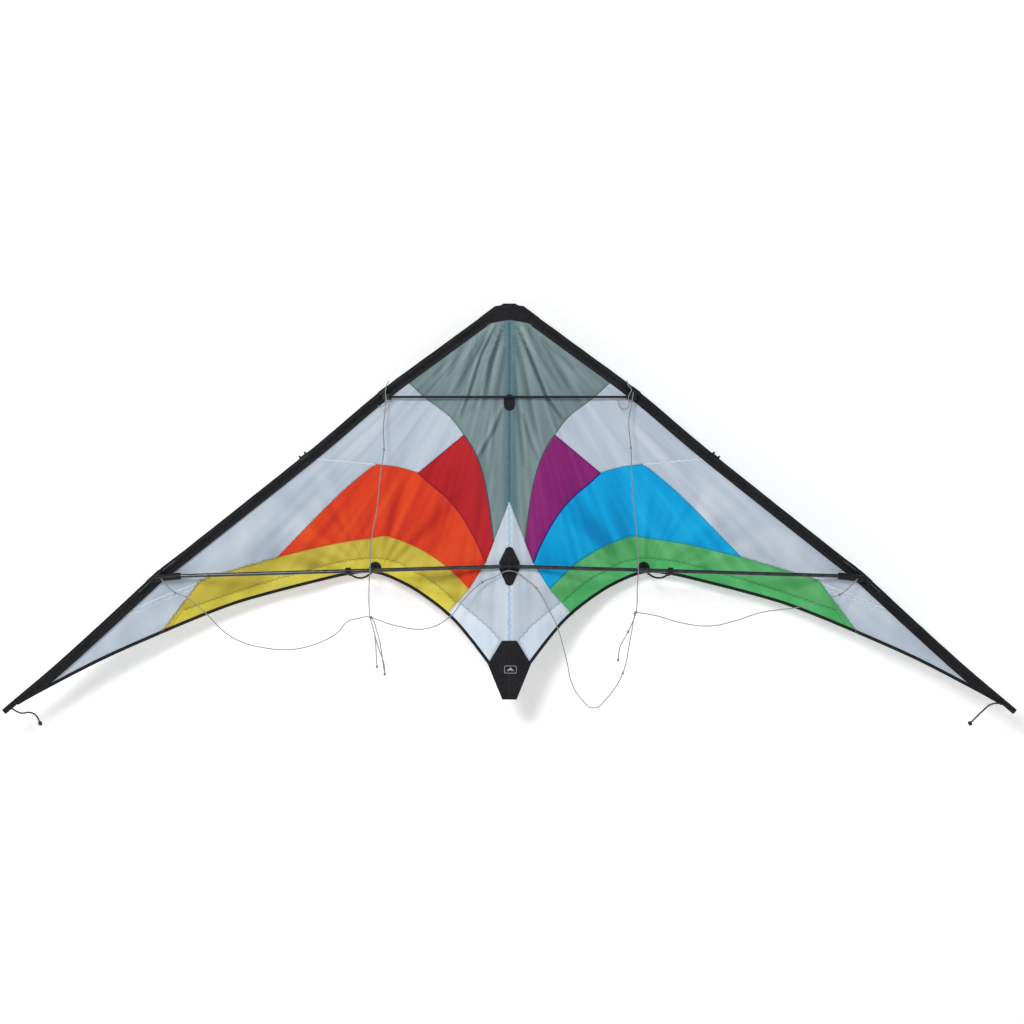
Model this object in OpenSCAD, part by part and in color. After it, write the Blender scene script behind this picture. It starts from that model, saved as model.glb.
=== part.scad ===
// Dual-line delta kite, seen from its bridle side.
// X runs across the span, Z runs up to the nose and Y runs back through the sail.
// The origin is the top of the nose. Lists of points below are [x, z] pairs on the
// right-hand side of the kite at its design size, and the left-hand side mirrors them.

/* [Overall] */
// Half of the span, from the centre line to the lower end of the sleeve
half_span = 759; // [640:1:920]
// Drop from the top of the nose to the lower end of the sleeve
sleeve_drop = 606; // [510:1:740]
// How far the standoffs hold the trailing edge back
sail_depth = 72; // [50:1:90]

/* [Rods] */
// Diameter of the spine, leading-edge and lower spreader tubes
rod_d = 6; // [5:0.1:7.5]
// Bore of those tubes
rod_bore = 4; // [3:0.1:4.4]
// Diameter of the upper spreader rod
upper_spreader_d = 3.5; // [3:0.1:4.5]
// Diameter of the bowed standoff rods
standoff_d = 3; // [2.5:0.1:3.6]
// Length of each half of the ferrule inside the leading edge
ferrule_reach = 35; // [20:1:50]
// Room for the bowed ferrule in the tubes' bore
ferrule_play = 1.2; // [1.2:0.1:1.6]

/* [Cloth] */
// Thickness of the sail cloth
cloth = 0.6; // [0.4:0.1:1]
// Width of the black sleeve along the leading edge
sleeve_w = 17.5; // [15:0.5:22]
// Width of the black binding along the trailing edge
binding_w = 5; // [4:0.5:7]
// Width of the tape behind the centre seam
tape_w = 20; // [16:1:26]

/* [Fittings] */
// Distance from the sail's plane forward to the spreaders
spreader_front = 8; // [7.5:0.5:11]
// Distance from the sail's plane back to the spine
spine_back = 7.5; // [7.5:0.5:10]
// Wall of the moulded fittings
fitting_wall = 2.3; // [1.8:0.1:3]
// Radial gap between a rod and the fitting that holds it
fit = 0.05; // [0.03:0.01:0.1]
// Length of the moulded fitting along the lower leading edge
lower_fitting_len = 26; // [20:1:34]
// Depth of a socket that takes a spreader's end
socket_depth = 14; // [10:1:20]
// Diameter of the tip nocks
nock_d = 9; // [8.5:0.1:11]

/* [Bridle] */
// Diameter of the bridle line
line_d = 1.5; // [1.2:0.1:2.2]
// Diameter of the short cords at the wing tips
tip_cord_d = 2.5; // [2:0.1:3.2]

/* [Hidden] */
$fn = 48;

black = "#1A1A1E";
graphite = "#2A2F33";
grey = "#72878A";
white = "#B8C4D2";
line_colour = "#D8D8D4";

// Design sizes that the outline's points were drawn at
design_half_span = 759;
design_drop = 606;
wide = half_span / design_half_span;
tall = sleeve_drop / design_drop;
function sized(points) = [for (p = points) [p.x * wide, p.y * tall]];
function unit(v) = v / norm(v);
function backwards(points) = [for (i = [len(points) - 1 : -1 : 0]) points[i]];

// Outer edge of the sleeve, which bows a little where the spreaders push it out
edge = sized([[22, -4], [106, -65.5], [198, -133.5], [289, -210.5], [381, -284.5], [503, -381],
    [533, -404], [564, -432], [625, -488.5], [698, -554.5], [design_half_span, -design_drop]]);
function inward(way) = [way.y, -way.x];
function edge_way(i) = unit(edge[min(i + 1, len(edge) - 1)] - edge[max(i - 1, 0)]);
function inset_edge(by) = [for (i = [0 : len(edge) - 1]) edge[i] + by * inward(edge_way(i))];
rod_inset = rod_d / 2 + 2;
rod_line = inset_edge(rod_inset);
hem_line = inset_edge(sleeve_w);
function on_rod(x) = [x, lookup(x, rod_line)];
function rod_way(x) = unit(on_rod(x + 4) - on_rod(x - 4));
tip_way = edge_way(len(edge) - 1);
rod_tip = rod_line[len(edge) - 1];
joint_x = 531 * wide;
rod_joint = on_rod(joint_x);
nose_rod_x = rod_line[0].x + 11;
sleeve_x = rod_line[0].x + 22;
nock_past_sleeve = 22;

// Trailing edge from the tail patch to the tip
trailing_edge = sized([[33, -552], [62, -515], [90, -484], [124, -457], [163, -433], [209, -415],
    [248, -417], [294, -427], [387, -451], [448, -470], [539, -506], [628, -546], [712, -591]]);

// Seams between the sail's panels
centre_apex = sized([[0, -303]]);
seam_grey_white = sized([[165, -110.5], [149, -125.4], [131, -142], [111, -157], [95, -169],
    [82, -183], [69.5, -201]]);
seam_grey_red = sized([[69.5, -201], [56, -222], [45, -247], [37, -277], [31.5, -307], [24, -364]]);
seam_white_red = sized([[69.5, -201], [140, -259]]);
seam_red_centre = sized([[24, -364], [37, -397]]);
seam_red_orange = sized([[140, -259], [123, -275], [97, -297], [72, -327], [49, -368], [37, -397]]);
seam_white_orange = sized([[140, -259], [172, -250], [206, -246]]);
seam_middle_orange = sized([[206, -246], [234, -268], [275, -305], [355, -386]]);
seam_orange_yellow = sized([[355, -386], [275, -369], [216, -360], [189, -357], [150, -371],
    [123, -385], [95, -405], [62, -437]]);
seam_orange_centre = sized([[37, -397], [62, -437]]);
seam_middle_yellow = sized([[355, -386], [431, -409], [475, -423]]);
seam_tip_yellow = sized([[475, -423], [539, -506]]);
seam_yellow_centre = sized([[62, -437], [90, -484]]);
seam_upper_middle = sized([[206, -246], [330, -234]]);
seam_middle_tip = sized([[475, -423], [491, -433], [522, -445], [600, -450]]);

// The sail's surface: flat beside the spine and along the leading edge, and held back at the
// trailing edge by the standoffs
cell = 20;
keel_half = cell;
standoff_te = [209 * wide, -415 * tall];
belly_reach = 720 * wide;
tail_point = [0, -560 * tall];
te_table = concat([tail_point], trailing_edge);
least_drop = 20;
function across(x) =
    x <= keel_half ? 0
    : x < standoff_te.x ? pow(sin(90 * (x - keel_half) / (standoff_te.x - keel_half)), 1.3)
    : pow(cos(min(90, 90 * (x - standoff_te.x) / (belly_reach - standoff_te.x))), 1.1);
function fall(x, z) = (lookup(x, edge) - z) / max(least_drop, lookup(x, edge) - lookup(x, te_table));
function sail_y(x, z) = sail_depth * across(x) * pow(max(0, min(1.2, fall(x, z))), 1.6);

// Sides of the tubes that follow the bowed leading edge
rod_sides = 16;

// Spreaders
spreader_mid = [0, -402 * tall];
spreader_short = [17, 8];
spreader_end = rod_joint - spreader_short;
spreader_way = unit(spreader_end - spreader_mid);
tee_web = 12;
spigot_len = 10;
upper_fitting_x = 192 * wide;
upper_spreader_z = on_rod(upper_fitting_x).y - 8;
upper_spreader_half = upper_fitting_x - 9;
middle_clip_x = 313 * wide;
hole_r = 7;

// Standoffs: a bowed rod from a clip on the lower spreader to a patch at the trailing edge
clip_x = 246 * wide;
clip_on_spreader = spreader_mid + spreader_way * (clip_x / spreader_way.x);
patch_front = 1.8;
patch_r = 9.5;
cap_gap = 0.5;
seat_rise = 9;
standoff_seat_z = standoff_te.y + seat_rise;
standoff_start = [clip_on_spreader.x, -spreader_front + rod_d / 2 + 2, clip_on_spreader.y - 2];
standoff_end = [standoff_te.x, sail_y(standoff_te.x, standoff_seat_z) - patch_front - cap_gap - standoff_d,
    standoff_seat_z];
standoff_sag = 12;
chord = norm(standoff_end - standoff_start);
bow_r = (chord * chord / 4 + standoff_sag * standoff_sag) / (2 * standoff_sag);
bow_angle = 2 * asin(chord / 2 / bow_r);
chord_way = unit(standoff_end - standoff_start);
down = [0, 0, -1];
sag_way = unit(down - (down * chord_way) * chord_way);
bow_normal = cross(sag_way, chord_way);
bow_centre = (standoff_start + standoff_end) / 2 - sag_way * (bow_r - standoff_sag);
start_way = chord_way * cos(bow_angle / 2) + sag_way * sin(bow_angle / 2);
end_way = chord_way * cos(bow_angle / 2) - sag_way * sin(bow_angle / 2);

// Patches and their outlines
tail_outline = sized([[-11.5, -516], [11.5, -516], [33, -552], [11, -606], [-11, -606], [-33, -552]]);
nose_outline = sized([[-9, 0], [9, 0], [14, -3], [22, -4], [46, -22], [36, -36], [18, -29], [0, -24],
    [-18, -29], [-36, -36], [-46, -22], [-22, -4], [-14, -3]]);
rhombus_outline = sized([[0, -372], [5, -374], [15.7, -396], [15.7, -406], [5, -430], [0, -432],
    [-5, -430], [-15.7, -406], [-15.7, -396], [-5, -374]]);
oval_top = -139 * tall;
oval_bottom = -164 * tall;
oval_r = 8.5;

// Routes of the cords, [x, y, z]
upper_leg_left = [[-189, -13, -137], [-188, -15, -150], [-189, -15, -160], [-192, -17, -194],
    [-191, -19, -224], [-196, -21, -260], [-202, -24, -319], [-210, -28, -362], [-211, -30, -395],
    [-213, -32, -438], [-211, -33, -479], [-205, -32, -502], [-201, -30, -554]];
upper_leg_right = [[189, -13, -136], [187, -15, -150], [185, -15, -161], [182, -17, -179],
    [185, -19, -221], [187, -21, -286], [194, -25, -355], [196, -29, -394], [194, -32, -438],
    [192, -33, -471], [180, -32, -501], [168, -30, -524], [165, -29, -544]];
outer_leg_left = [[-531, -14, -421], [-509, -18, -442], [-497, -19, -446], [-473, -20, -463],
    [-426, -22, -507], [-406, -23, -517], [-381, -24, -524], [-332, -26, -528], [-293, -28, -519],
    [-262, -30, -503], [-245, -33, -485], [-227, -34, -480], [-211, -35.5, -479],
    [-201, -34, -500], [-189, -32, -565]];
outer_leg_right = [[531, -14, -421], [503, -18, -445], [489, -19, -449], [468, -20, -457],
    [438, -22, -464], [382, -24, -472], [344, -26, -484], [306, -28, -492], [260, -31, -487],
    [222, -34, -476], [192, -35.5, -471]];
inner_leg_left = [[-8, -9, -410], [-13, -9.5, -413], [-22, -10, -418], [-41, -12, -426],
    [-70, -15, -453], [-89, -18, -477], [-125, -24, -496], [-170, -31, -492], [-209, -37.5, -479]];
inner_leg_right = [[8, -9, -410], [14, -9.5, -413], [25, -10, -421], [41, -12, -435],
    [59, -14, -466], [72, -16, -492], [87, -18, -544], [96, -19, -582], [110, -21, -604],
    [128, -23, -617], [148, -26, -602], [172, -30, -564], [183, -34, -513], [190, -37.5, -473]];
tip_cord_points_left = [[-760, -8, -619], [-745, -9, -626], [-733, -8, -625], [-724, -6, -629],
    [-717, -5, -642]];
tip_cord_points_right = [[760, -8, -616], [745, -9, -611], [735, -8, -613], [723, -6, -623],
    [704, -5, -642]];

// ---- Helpers ----

// Children stand at start, with their Z along the way to finish and their X in towards the sail
module along(start, finish, y = 0) {
    translate([start.x, y, start.y])
        rotate([0, atan2(finish.x - start.x, finish.y - start.y), 0])
            children();
}

// Children stand at a point in space, with their Z along a direction
module aimed(place, way) {
    translate(place)
        rotate([0, acos(way.z), atan2(way.y, way.x)])
            children();
}

module tube(length, outer_d, bore_d) {
    difference() {
        cylinder(d = outer_d, h = length);
        translate([0, 0, -1]) cylinder(d = bore_d, h = length + 2);
    }
}

module on_left() {
    mirror([1, 0, 0]) children();
}

// A flat outline in the kite's plane, from y_front back to y_back
module plate(y_front, y_back) {
    translate([0, y_back, 0]) rotate([90, 0, 0]) linear_extrude(y_back - y_front) children();
}

// Part of the sail's curved surface, as a slab on one shared grid
module sail_slab(low, high, front, back) {
    columns = [for (i = [floor(low.x / cell) : ceil(high.x / cell)]) i * cell];
    rows = [for (k = [floor(low.y / cell) : ceil(high.y / cell)]) k * cell];
    n = len(columns);
    m = len(rows);
    size = n * m;
    points = [for (f = [front, back], x = columns, z = rows) [x, sail_y(x, z) + f, z]];
    skins = [for (i = [0 : n - 2], j = [0 : m - 2])
        let (a = i * m + j, b = a + m, c = b + 1, d = a + 1)
        each [[a, d, c], [a, c, b], [a + size, c + size, d + size], [a + size, b + size, c + size]]];
    lower_wall = [for (i = [0 : n - 2])
        let (a = i * m, b = a + m) each [[a, b, b + size], [a, b + size, a + size]]];
    upper_wall = [for (i = [0 : n - 2])
        let (d = i * m + m - 1, c = d + m) each [[c, d, d + size], [c, d + size, c + size]]];
    inner_wall = [for (j = [0 : m - 2])
        let (a = j, d = j + 1) each [[d, a, a + size], [d, a + size, d + size]]];
    outer_wall = [for (j = [0 : m - 2])
        let (b = (n - 1) * m + j, c = b + 1) each [[b, c, c + size], [b, c + size, b + size]]];
    polyhedron(points, concat(skins, lower_wall, upper_wall, inner_wall, outer_wall), 8);
}

// A piece of the sail: children is its flat shape inside the box of the outline
module sail_piece(outline, front = 0, back = cloth) {
    margin = [1, 1];
    xs = [for (p = outline) p.x];
    zs = [for (p = outline) p.y];
    intersection() {
        sail_slab([min(xs), min(zs)] - margin, [max(xs), max(zs)] + margin, front, back);
        plate(-10, sail_depth * 1.5 + 10) children();
    }
}

// The strip of the plane that the sleeve covers, with room outside it
module sleeve_strip() {
    outside = 60;
    polygon(concat([hem_line[0] - edge_way(0) * outside], hem_line,
        [rod_tip + tip_way * outside + [0, -outside], rod_tip + [outside, outside],
        edge[0] + [0, outside] - edge_way(0) * outside]));
}

function raised(points, by) = [for (p = points) p + [0, by]];
binding_outline = concat(trailing_edge, backwards(raised(trailing_edge, binding_w)));

// The flat region past the centre line, with half of the gap between the two wings' cloth
module far_side() {
    reach = 20;
    translate([-reach, -sleeve_drop - reach]) square([reach + cap_gap / 2, sleeve_drop + 2 * reach]);
}

// A sail panel, cut back where the sleeve, binding, tail patch and centre fitting take over
module panel(outline) {
    sail_piece(outline)
        difference() {
            polygon(outline);
            sleeve_strip();
            polygon(binding_outline);
            polygon(tail_outline);
            translate(spreader_mid) circle(r = hole_r);
            far_side();
        }
}

// A closed profile of [inward, y] points swept along a line of [x, z] points. Its second half
// runs back opposite its first half, so each end is closed by a strip across the two
module sweep(profile, line) {
    sides = len(profile);
    count = len(line);
    rings = [for (i = [0 : count - 1])
        let (way = unit(line[min(i + 1, count - 1)] - line[max(i - 1, 0)]), side = inward(way))
        each [for (p = profile) [line[i].x + p.x * side.x, p.y, line[i].y + p.x * side.y]]];
    walls = [for (i = [0 : count - 2], k = [0 : sides - 1])
        let (a = i * sides + k, b = i * sides + (k + 1) % sides)
        each [[a, a + sides, b + sides], [a, b + sides, b]]];
    first_cap = [for (k = [0 : sides / 2 - 2]) [k, k + 1, sides - 2 - k, sides - 1 - k]];
    last_cap = [for (f = first_cap) [for (i = [3 : -1 : 0]) f[i] + (count - 1) * sides]];
    polyhedron(rings, concat(walls, first_cap, last_cap), 8);
}
function round_profile(r) = [for (k = [0 : rod_sides - 1])
    r * [cos(360 / rod_sides * k), sin(360 / rod_sides * k)]];

// A cord: an eight-sided tube swept through its route's points
module cord(route, d) {
    sides = 8;
    count = len(route);
    rings = [for (i = [0 : count - 1])
        let (before = route[max(0, i - 1)], after = route[min(count - 1, i + 1)],
            way = unit(after - before), across_way = unit(cross(way, [0, 1, 0])),
            other_way = cross(across_way, way))
        each [for (k = [0 : sides - 1])
            route[i] + d / 2 * (cos(360 / sides * k) * across_way + sin(360 / sides * k) * other_way)]];
    walls = [for (i = [0 : count - 2], k = [0 : sides - 1])
        let (a = i * sides + k, b = i * sides + (k + 1) % sides)
        each [[a, a + sides, b + sides], [a, b + sides, b]]];
    first_cap = [for (k = [0 : sides - 1]) k];
    last_cap = [for (k = [sides - 1 : -1 : 0]) (count - 1) * sides + k];
    polyhedron(rings, concat(walls, [first_cap, last_cap]), 8);
}

// ---- Sail panels ----

module grey_panel() {
    color(grey) panel(concat([[0, 0], [22 * wide, 10 * tall], [182 * wide, -106 * tall]], seam_grey_white,
        seam_grey_red, centre_apex));
}
module upper_white_panel() {
    color(white) panel(concat([[182 * wide, -106 * tall], [352 * wide, -234 * tall]],
        backwards(seam_upper_middle), backwards(seam_white_orange), backwards(seam_white_red),
        backwards(seam_grey_white)));
}
module middle_white_panel() {
    color(white) panel(concat([[352 * wide, -234 * tall], [551 * wide, -395 * tall],
        [630 * wide, -450 * tall]], backwards(seam_middle_tip), backwards(seam_middle_yellow),
        backwards(seam_middle_orange), seam_upper_middle));
}
module tip_white_panel() {
    color(white) panel(concat([[630 * wide, -450 * tall], [760 * wide, -587 * tall]],
        backwards([for (p = trailing_edge) if (p.x > 535 * wide) p]), backwards(seam_tip_yellow),
        seam_middle_tip));
}
module inner_colour_panel(shade) {
    color(shade) panel(concat(seam_white_red, seam_red_orange, backwards(seam_red_centre),
        backwards(seam_grey_red)));
}
module middle_colour_panel(shade) {
    color(shade) panel(concat(seam_white_orange, seam_middle_orange, seam_orange_yellow,
        backwards(seam_orange_centre), backwards(seam_red_orange)));
}
module outer_colour_panel(shade) {
    color(shade) panel(concat(seam_middle_yellow, seam_tip_yellow,
        backwards([for (p = trailing_edge) if (p.x > 80 * wide && p.x < 545 * wide) p]),
        backwards(seam_yellow_centre), backwards(seam_orange_yellow)));
}
module centre_panel() {
    color(white) panel(concat(centre_apex, seam_red_centre, seam_orange_centre, seam_yellow_centre,
        backwards([for (p = trailing_edge) if (p.x < 80 * wide) p]), [[0, -560 * tall]]));
}

// ---- Edges and patches ----

// Children stand on the leading-edge tube at x, with Z along the tube towards the tip
module on_leading_edge(x) {
    along(on_rod(x), on_rod(x) + rod_way(x)) children();
}

// A cut round the leading-edge tube, centred at x
module window(x, length) {
    on_leading_edge(x) translate([0, 0, -length / 2]) cylinder(r = rod_d / 2 + fitting_wall + 2, h = length);
}

// Sleeve: cloth folded into a round pocket for the tube, with a two-layer hem towards the sail
module leading_edge_sleeve() {
    hem = 1;
    slit = 0.35;
    reach = sleeve_w - rod_inset;
    folded = concat([[reach, hem]], arc(rod_d / 2 + 1.2, hem), [[reach, -hem], [reach, -slit]],
        backwards(arc(rod_d / 2 + 0.4, slit)), [[reach, slit]]);
    color(black)
        difference() {
            sweep(folded, concat([on_rod(sleeve_x)], [for (p = rod_line) if (p.x > sleeve_x + 5) p]));
            window(upper_fitting_x, 21);
            window(middle_clip_x, 18);
            window(joint_x + 9, 78);
        }
}
function arc(r, gap) = [for (k = [0 : rod_sides])
    let (open = asin(gap / r), turn = open + (360 - 2 * open) * k / rod_sides)
    r * [cos(turn), sin(turn)]];

module trailing_edge_binding() {
    overlap = 0.4;
    color(black)
        sail_piece(binding_outline, -overlap, cloth + overlap)
            difference() {
                polygon(binding_outline);
                sleeve_strip();
                polygon(tail_outline);
                translate(standoff_te + [0, seat_rise]) circle(r = patch_r);
            }
}

module standoff_patch() {
    color(black)
        sail_piece([standoff_te - [12, 12], standoff_te + [12, 24]], -patch_front, -0.1)
            intersection() {
                translate(standoff_te + [0, seat_rise]) circle(r = patch_r);
                translate(standoff_te + [-20, 0]) square(40);
            }
}

module spine_tape() {
    color("#5D7686")
        plate(cloth + 0.4, cloth + 1)
            difference() {
                translate([-tape_w / 2, -514 * tall]) square([tape_w, 478 * tall]);
                translate(spreader_mid) circle(r = hole_r);
            }
}

module spine_patches() {
    color(black) {
        plate(-1.1, -0.3)
            difference() {
                polygon(rhombus_outline);
                translate(spreader_mid) circle(r = hole_r);
            }
        plate(-1.1, -0.3) {
            translate([0, oval_top - oval_r]) circle(r = oval_r);
            translate([0, oval_bottom + oval_r]) circle(r = oval_r);
            translate([-oval_r, oval_bottom + oval_r])
                square([2 * oval_r, oval_top - oval_bottom - 2 * oval_r]);
        }
    }
}

// Folded webbing at the nose, with a pocket for each leading edge and one behind for the spine
module nose_patch() {
    half_thick = 4.6;
    color(black)
        difference() {
            union() {
                plate(-half_thick, half_thick) polygon(nose_outline);
                translate([0, spine_back, -44 * tall]) cylinder(d = rod_d + 4, h = 38 * tall);
                translate([-5, 0, -24 * tall]) cube([10, spine_back, 18 * tall]);
            }
            nose_pocket();
            on_left() nose_pocket();
            sail_slot();
            on_left() sail_slot();
            translate([0, spine_back, -60 * tall]) cylinder(d = rod_d + 2 * fit, h = 46 * tall);
        }
}
module sail_slot() {
    play = 0.1;
    plate(-play, cloth + play)
        difference() {
            polygon([[-1, 0], [60 * wide, 0], [60 * wide, -60 * tall], [-1, -60 * tall]]);
            sleeve_strip();
        }
}
module nose_pocket() {
    on_leading_edge(nose_rod_x) translate([0, 0, -1]) cylinder(d = rod_d + 2 * fit, h = 90);
    on_leading_edge(sleeve_x) translate([0, 0, -1]) cylinder(d = rod_d + 4, h = 90);
    on_leading_edge(sleeve_x) translate([-20, -1.2, -2]) cube([60, 2.4, 90]);
}

// Webbing sewn over the tail, front and back
module tail_patch() {
    webbing = 0.8;
    color(black) plate(-webbing, cloth + webbing) polygon(tail_outline);
}

// ---- Frame ----

module spine_rod() {
    bottom = -600 * tall;
    top = -14 * tall;
    color(graphite)
        translate([0, spine_back, bottom]) tube(top - bottom, rod_d, rod_bore);
}

module spine_end_cap() {
    bottom = -606 * tall;
    color(black)
        difference() {
            union() {
                translate([0, spine_back, bottom]) cylinder(d = rod_d + 4, h = 26);
                translate([-3, cloth + 1, bottom]) cube([6, spine_back - cloth - 4, 26]);
            }
            translate([0, spine_back, -600 * tall]) cylinder(d = rod_d + 2 * fit, h = 40);
        }
}

// A tube that follows the bowed leading edge, as rings of outer and inner points
module bowed_tube(line) {
    count = len(line);
    station = 2 * rod_sides;
    last = (count - 1) * station;
    both = concat(round_profile(rod_d / 2), round_profile(rod_bore / 2));
    points = [for (i = [0 : count - 1])
        let (way = unit(line[min(i + 1, count - 1)] - line[max(i - 1, 0)]), side = inward(way))
        each [for (p = both) [line[i].x + p.x * side.x, p.y, line[i].y + p.x * side.y]]];
    outer = [for (i = [0 : count - 2], k = [0 : rod_sides - 1])
        let (a = i * station + k, b = i * station + (k + 1) % rod_sides)
        each [[a, a + station, b + station], [a, b + station, b]]];
    inner = [for (f = outer) [f[2] + rod_sides, f[1] + rod_sides, f[0] + rod_sides]];
    ends = [for (k = [0 : rod_sides - 1])
        let (next = (k + 1) % rod_sides)
        each [[k, next, next + rod_sides, k + rod_sides],
            [last + k + rod_sides, last + next + rod_sides, last + next, last + k]]];
    color(graphite) polyhedron(points, concat(outer, inner, ends), 8);
}

module upper_leading_rod() {
    bowed_tube(concat([on_rod(nose_rod_x)],
        [for (p = rod_line) if (p.x > nose_rod_x && p.x < joint_x - 5) p],
        [on_rod(joint_x - cap_gap)]));
}

module lower_leading_rod() {
    bowed_tube(concat([on_rod(joint_x)], [for (p = rod_line) if (p.x > joint_x + 5) p],
        [rod_tip + tip_way * (nock_past_sleeve - 11)]));
}

// Ferrule inside the two leading-edge tubes, bowed through the kink between them
module leading_ferrule() {
    color("#B9BEC2")
        sweep(round_profile((rod_bore - ferrule_play) / 2),
            concat([on_rod(joint_x - ferrule_reach * 0.8)],
                [for (p = rod_line) if (abs(p.x - joint_x) < ferrule_reach * 0.7) p],
                [on_rod(joint_x + ferrule_reach * 0.7)]));
}

module lower_spreader() {
    start = spreader_mid + spreader_way * (tee_web + cap_gap);
    color(graphite)
        along(start, spreader_end, -spreader_front)
            tube(norm(spreader_end - start), rod_d, rod_bore);
}

module upper_spreader() {
    color(graphite)
        translate([-upper_spreader_half, -spreader_front, upper_spreader_z])
            rotate([0, 90, 0]) cylinder(d = upper_spreader_d, h = 2 * upper_spreader_half);
}

// ---- Fittings ----

fitting_d = rod_d + 2 * fit + 2 * fitting_wall;

// Moulding clamped on the spine, with a spigot for each half of the lower spreader
module centre_tee() {
    clamp = 15;
    hub_h = 9;
    color(black)
        difference() {
            union() {
                translate([0, spine_back, spreader_mid.y - clamp]) cylinder(d = fitting_d, h = 2 * clamp);
                translate([0, spine_back, spreader_mid.y]) rotate([90, 0, 0])
                    cylinder(d = fitting_d - 2, h = spine_back + spreader_front - 1);
                translate([0, -spreader_front, spreader_mid.y - hub_h / 2])
                    cylinder(d = rod_d + 1, h = hub_h);
                tee_arm();
                on_left() tee_arm();
            }
            translate([0, spine_back, spreader_mid.y - clamp - 1])
                cylinder(d = rod_d + 2 * fit, h = 2 * clamp + 2);
        }
}
module tee_arm() {
    along(spreader_mid, spreader_end, -spreader_front) {
        cylinder(d = rod_d, h = tee_web);
        cylinder(d = rod_bore - 2 * fit, h = tee_web + spigot_len);
    }
}

module upper_fitting() {
    length = 16;
    slot_w = upper_spreader_d + 0.8;
    block_w = slot_w + 2 * fitting_wall;
    block = 14;
    block_x = upper_spreader_half - 3;
    color(black)
        difference() {
            union() {
                on_leading_edge(upper_fitting_x)
                    translate([0, 0, -length / 2]) cylinder(d = fitting_d, h = length);
                translate([block_x, -spreader_front - 3.5, upper_spreader_z - block_w / 2])
                    cube([block, spreader_front + 0.5, block_w]);
            }
            on_leading_edge(upper_fitting_x)
                translate([0, 0, -length]) cylinder(d = rod_d + 2 * fit, h = 2 * length);
            translate([block_x - 1, -spreader_front - 5, upper_spreader_z - slot_w / 2])
                cube([upper_spreader_half + cap_gap + 1 - block_x, 5 + slot_w / 2, slot_w]);
        }
}

module lower_fitting() {
    socket_start = spreader_end - spreader_way * (socket_depth - 2);
    bridge = rod_joint + [10, -12];
    tube_x = joint_x + 12;
    color(black)
        difference() {
            union() {
                on_leading_edge(tube_x)
                    translate([0, 0, -lower_fitting_len / 2]) cylinder(d = fitting_d, h = lower_fitting_len);
                along(socket_start, bridge, -spreader_front)
                    cylinder(d = fitting_d, h = norm(bridge - socket_start));
            }
            on_leading_edge(tube_x)
                translate([0, 0, -lower_fitting_len])
                    cylinder(d = rod_d + 2 * fit, h = 2 * lower_fitting_len);
            along(socket_start, spreader_end, -spreader_front)
                translate([0, 0, -1]) cylinder(d = rod_d + 2 * fit, h = socket_depth);
        }
}

// Split collar with two small horns that stops the leading edge's joint from sliding
module middle_clip() {
    length = 14;
    horn_d = 3;
    horn_out = fitting_d / 2 + 2.5;
    color(black)
        difference() {
            on_leading_edge(middle_clip_x) {
                translate([0, 0, -length / 2]) cylinder(d = fitting_d, h = length);
                for (z = [-length / 2 + 2, length / 2 - 2])
                    translate([0, 0, z]) rotate([0, -90, 0]) cylinder(d = horn_d, h = horn_out);
            }
            on_leading_edge(middle_clip_x)
                translate([0, 0, -length]) cylinder(d = rod_d + 2 * fit, h = 2 * length);
        }
}

module tip_nock() {
    slot = 2.6;
    color(black)
        along(rod_tip, rod_tip + tip_way)
            difference() {
                translate([0, 0, 1]) cylinder(d = nock_d, h = nock_past_sleeve);
                translate([0, 0, -1]) cylinder(d = rod_d + 2 * fit, h = nock_past_sleeve - 9);
                translate([-nock_d, -slot / 2, nock_past_sleeve - 4]) cube([2 * nock_d, slot, 10]);
            }
}

// ---- Standoffs ----

module standoff_clip() {
    length = 8;
    boss_len = 6;
    color(black)
        difference() {
            union() {
                along(clip_on_spreader, spreader_end, -spreader_front)
                    translate([0, 0, -length / 2]) cylinder(d = fitting_d, h = length);
                aimed(standoff_start, start_way)
                    translate([0, 0, -2]) cylinder(d = standoff_d + 3.2, h = boss_len + 2);
            }
            along(clip_on_spreader, spreader_end, -spreader_front)
                translate([0, 0, -length]) cylinder(d = rod_d + 2 * fit, h = 2 * length);
            aimed(standoff_start, start_way) cylinder(d = standoff_d + 0.6, h = boss_len + 1);
        }
}

module standoff_rod() {
    trim = 1;
    color(black)
        multmatrix([
            [sag_way.x, chord_way.x, bow_normal.x, bow_centre.x],
            [sag_way.y, chord_way.y, bow_normal.y, bow_centre.y],
            [sag_way.z, chord_way.z, bow_normal.z, bow_centre.z]])
            rotate([0, 0, trim - bow_angle / 2])
                rotate_extrude(angle = bow_angle - 2 * trim, $fn = 240)
                    translate([bow_r, 0]) circle(d = standoff_d, $fn = 24);
}

module standoff_cap() {
    length = 8;
    end_wall = 1;
    color(black)
        aimed(standoff_end, end_way)
            difference() {
                translate([0, 0, end_wall - length]) cylinder(d = standoff_d + 3, h = length);
                translate([0, 0, -length]) cylinder(d = standoff_d + 1, h = length);
            }
}

// ---- Nodes ----

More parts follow.
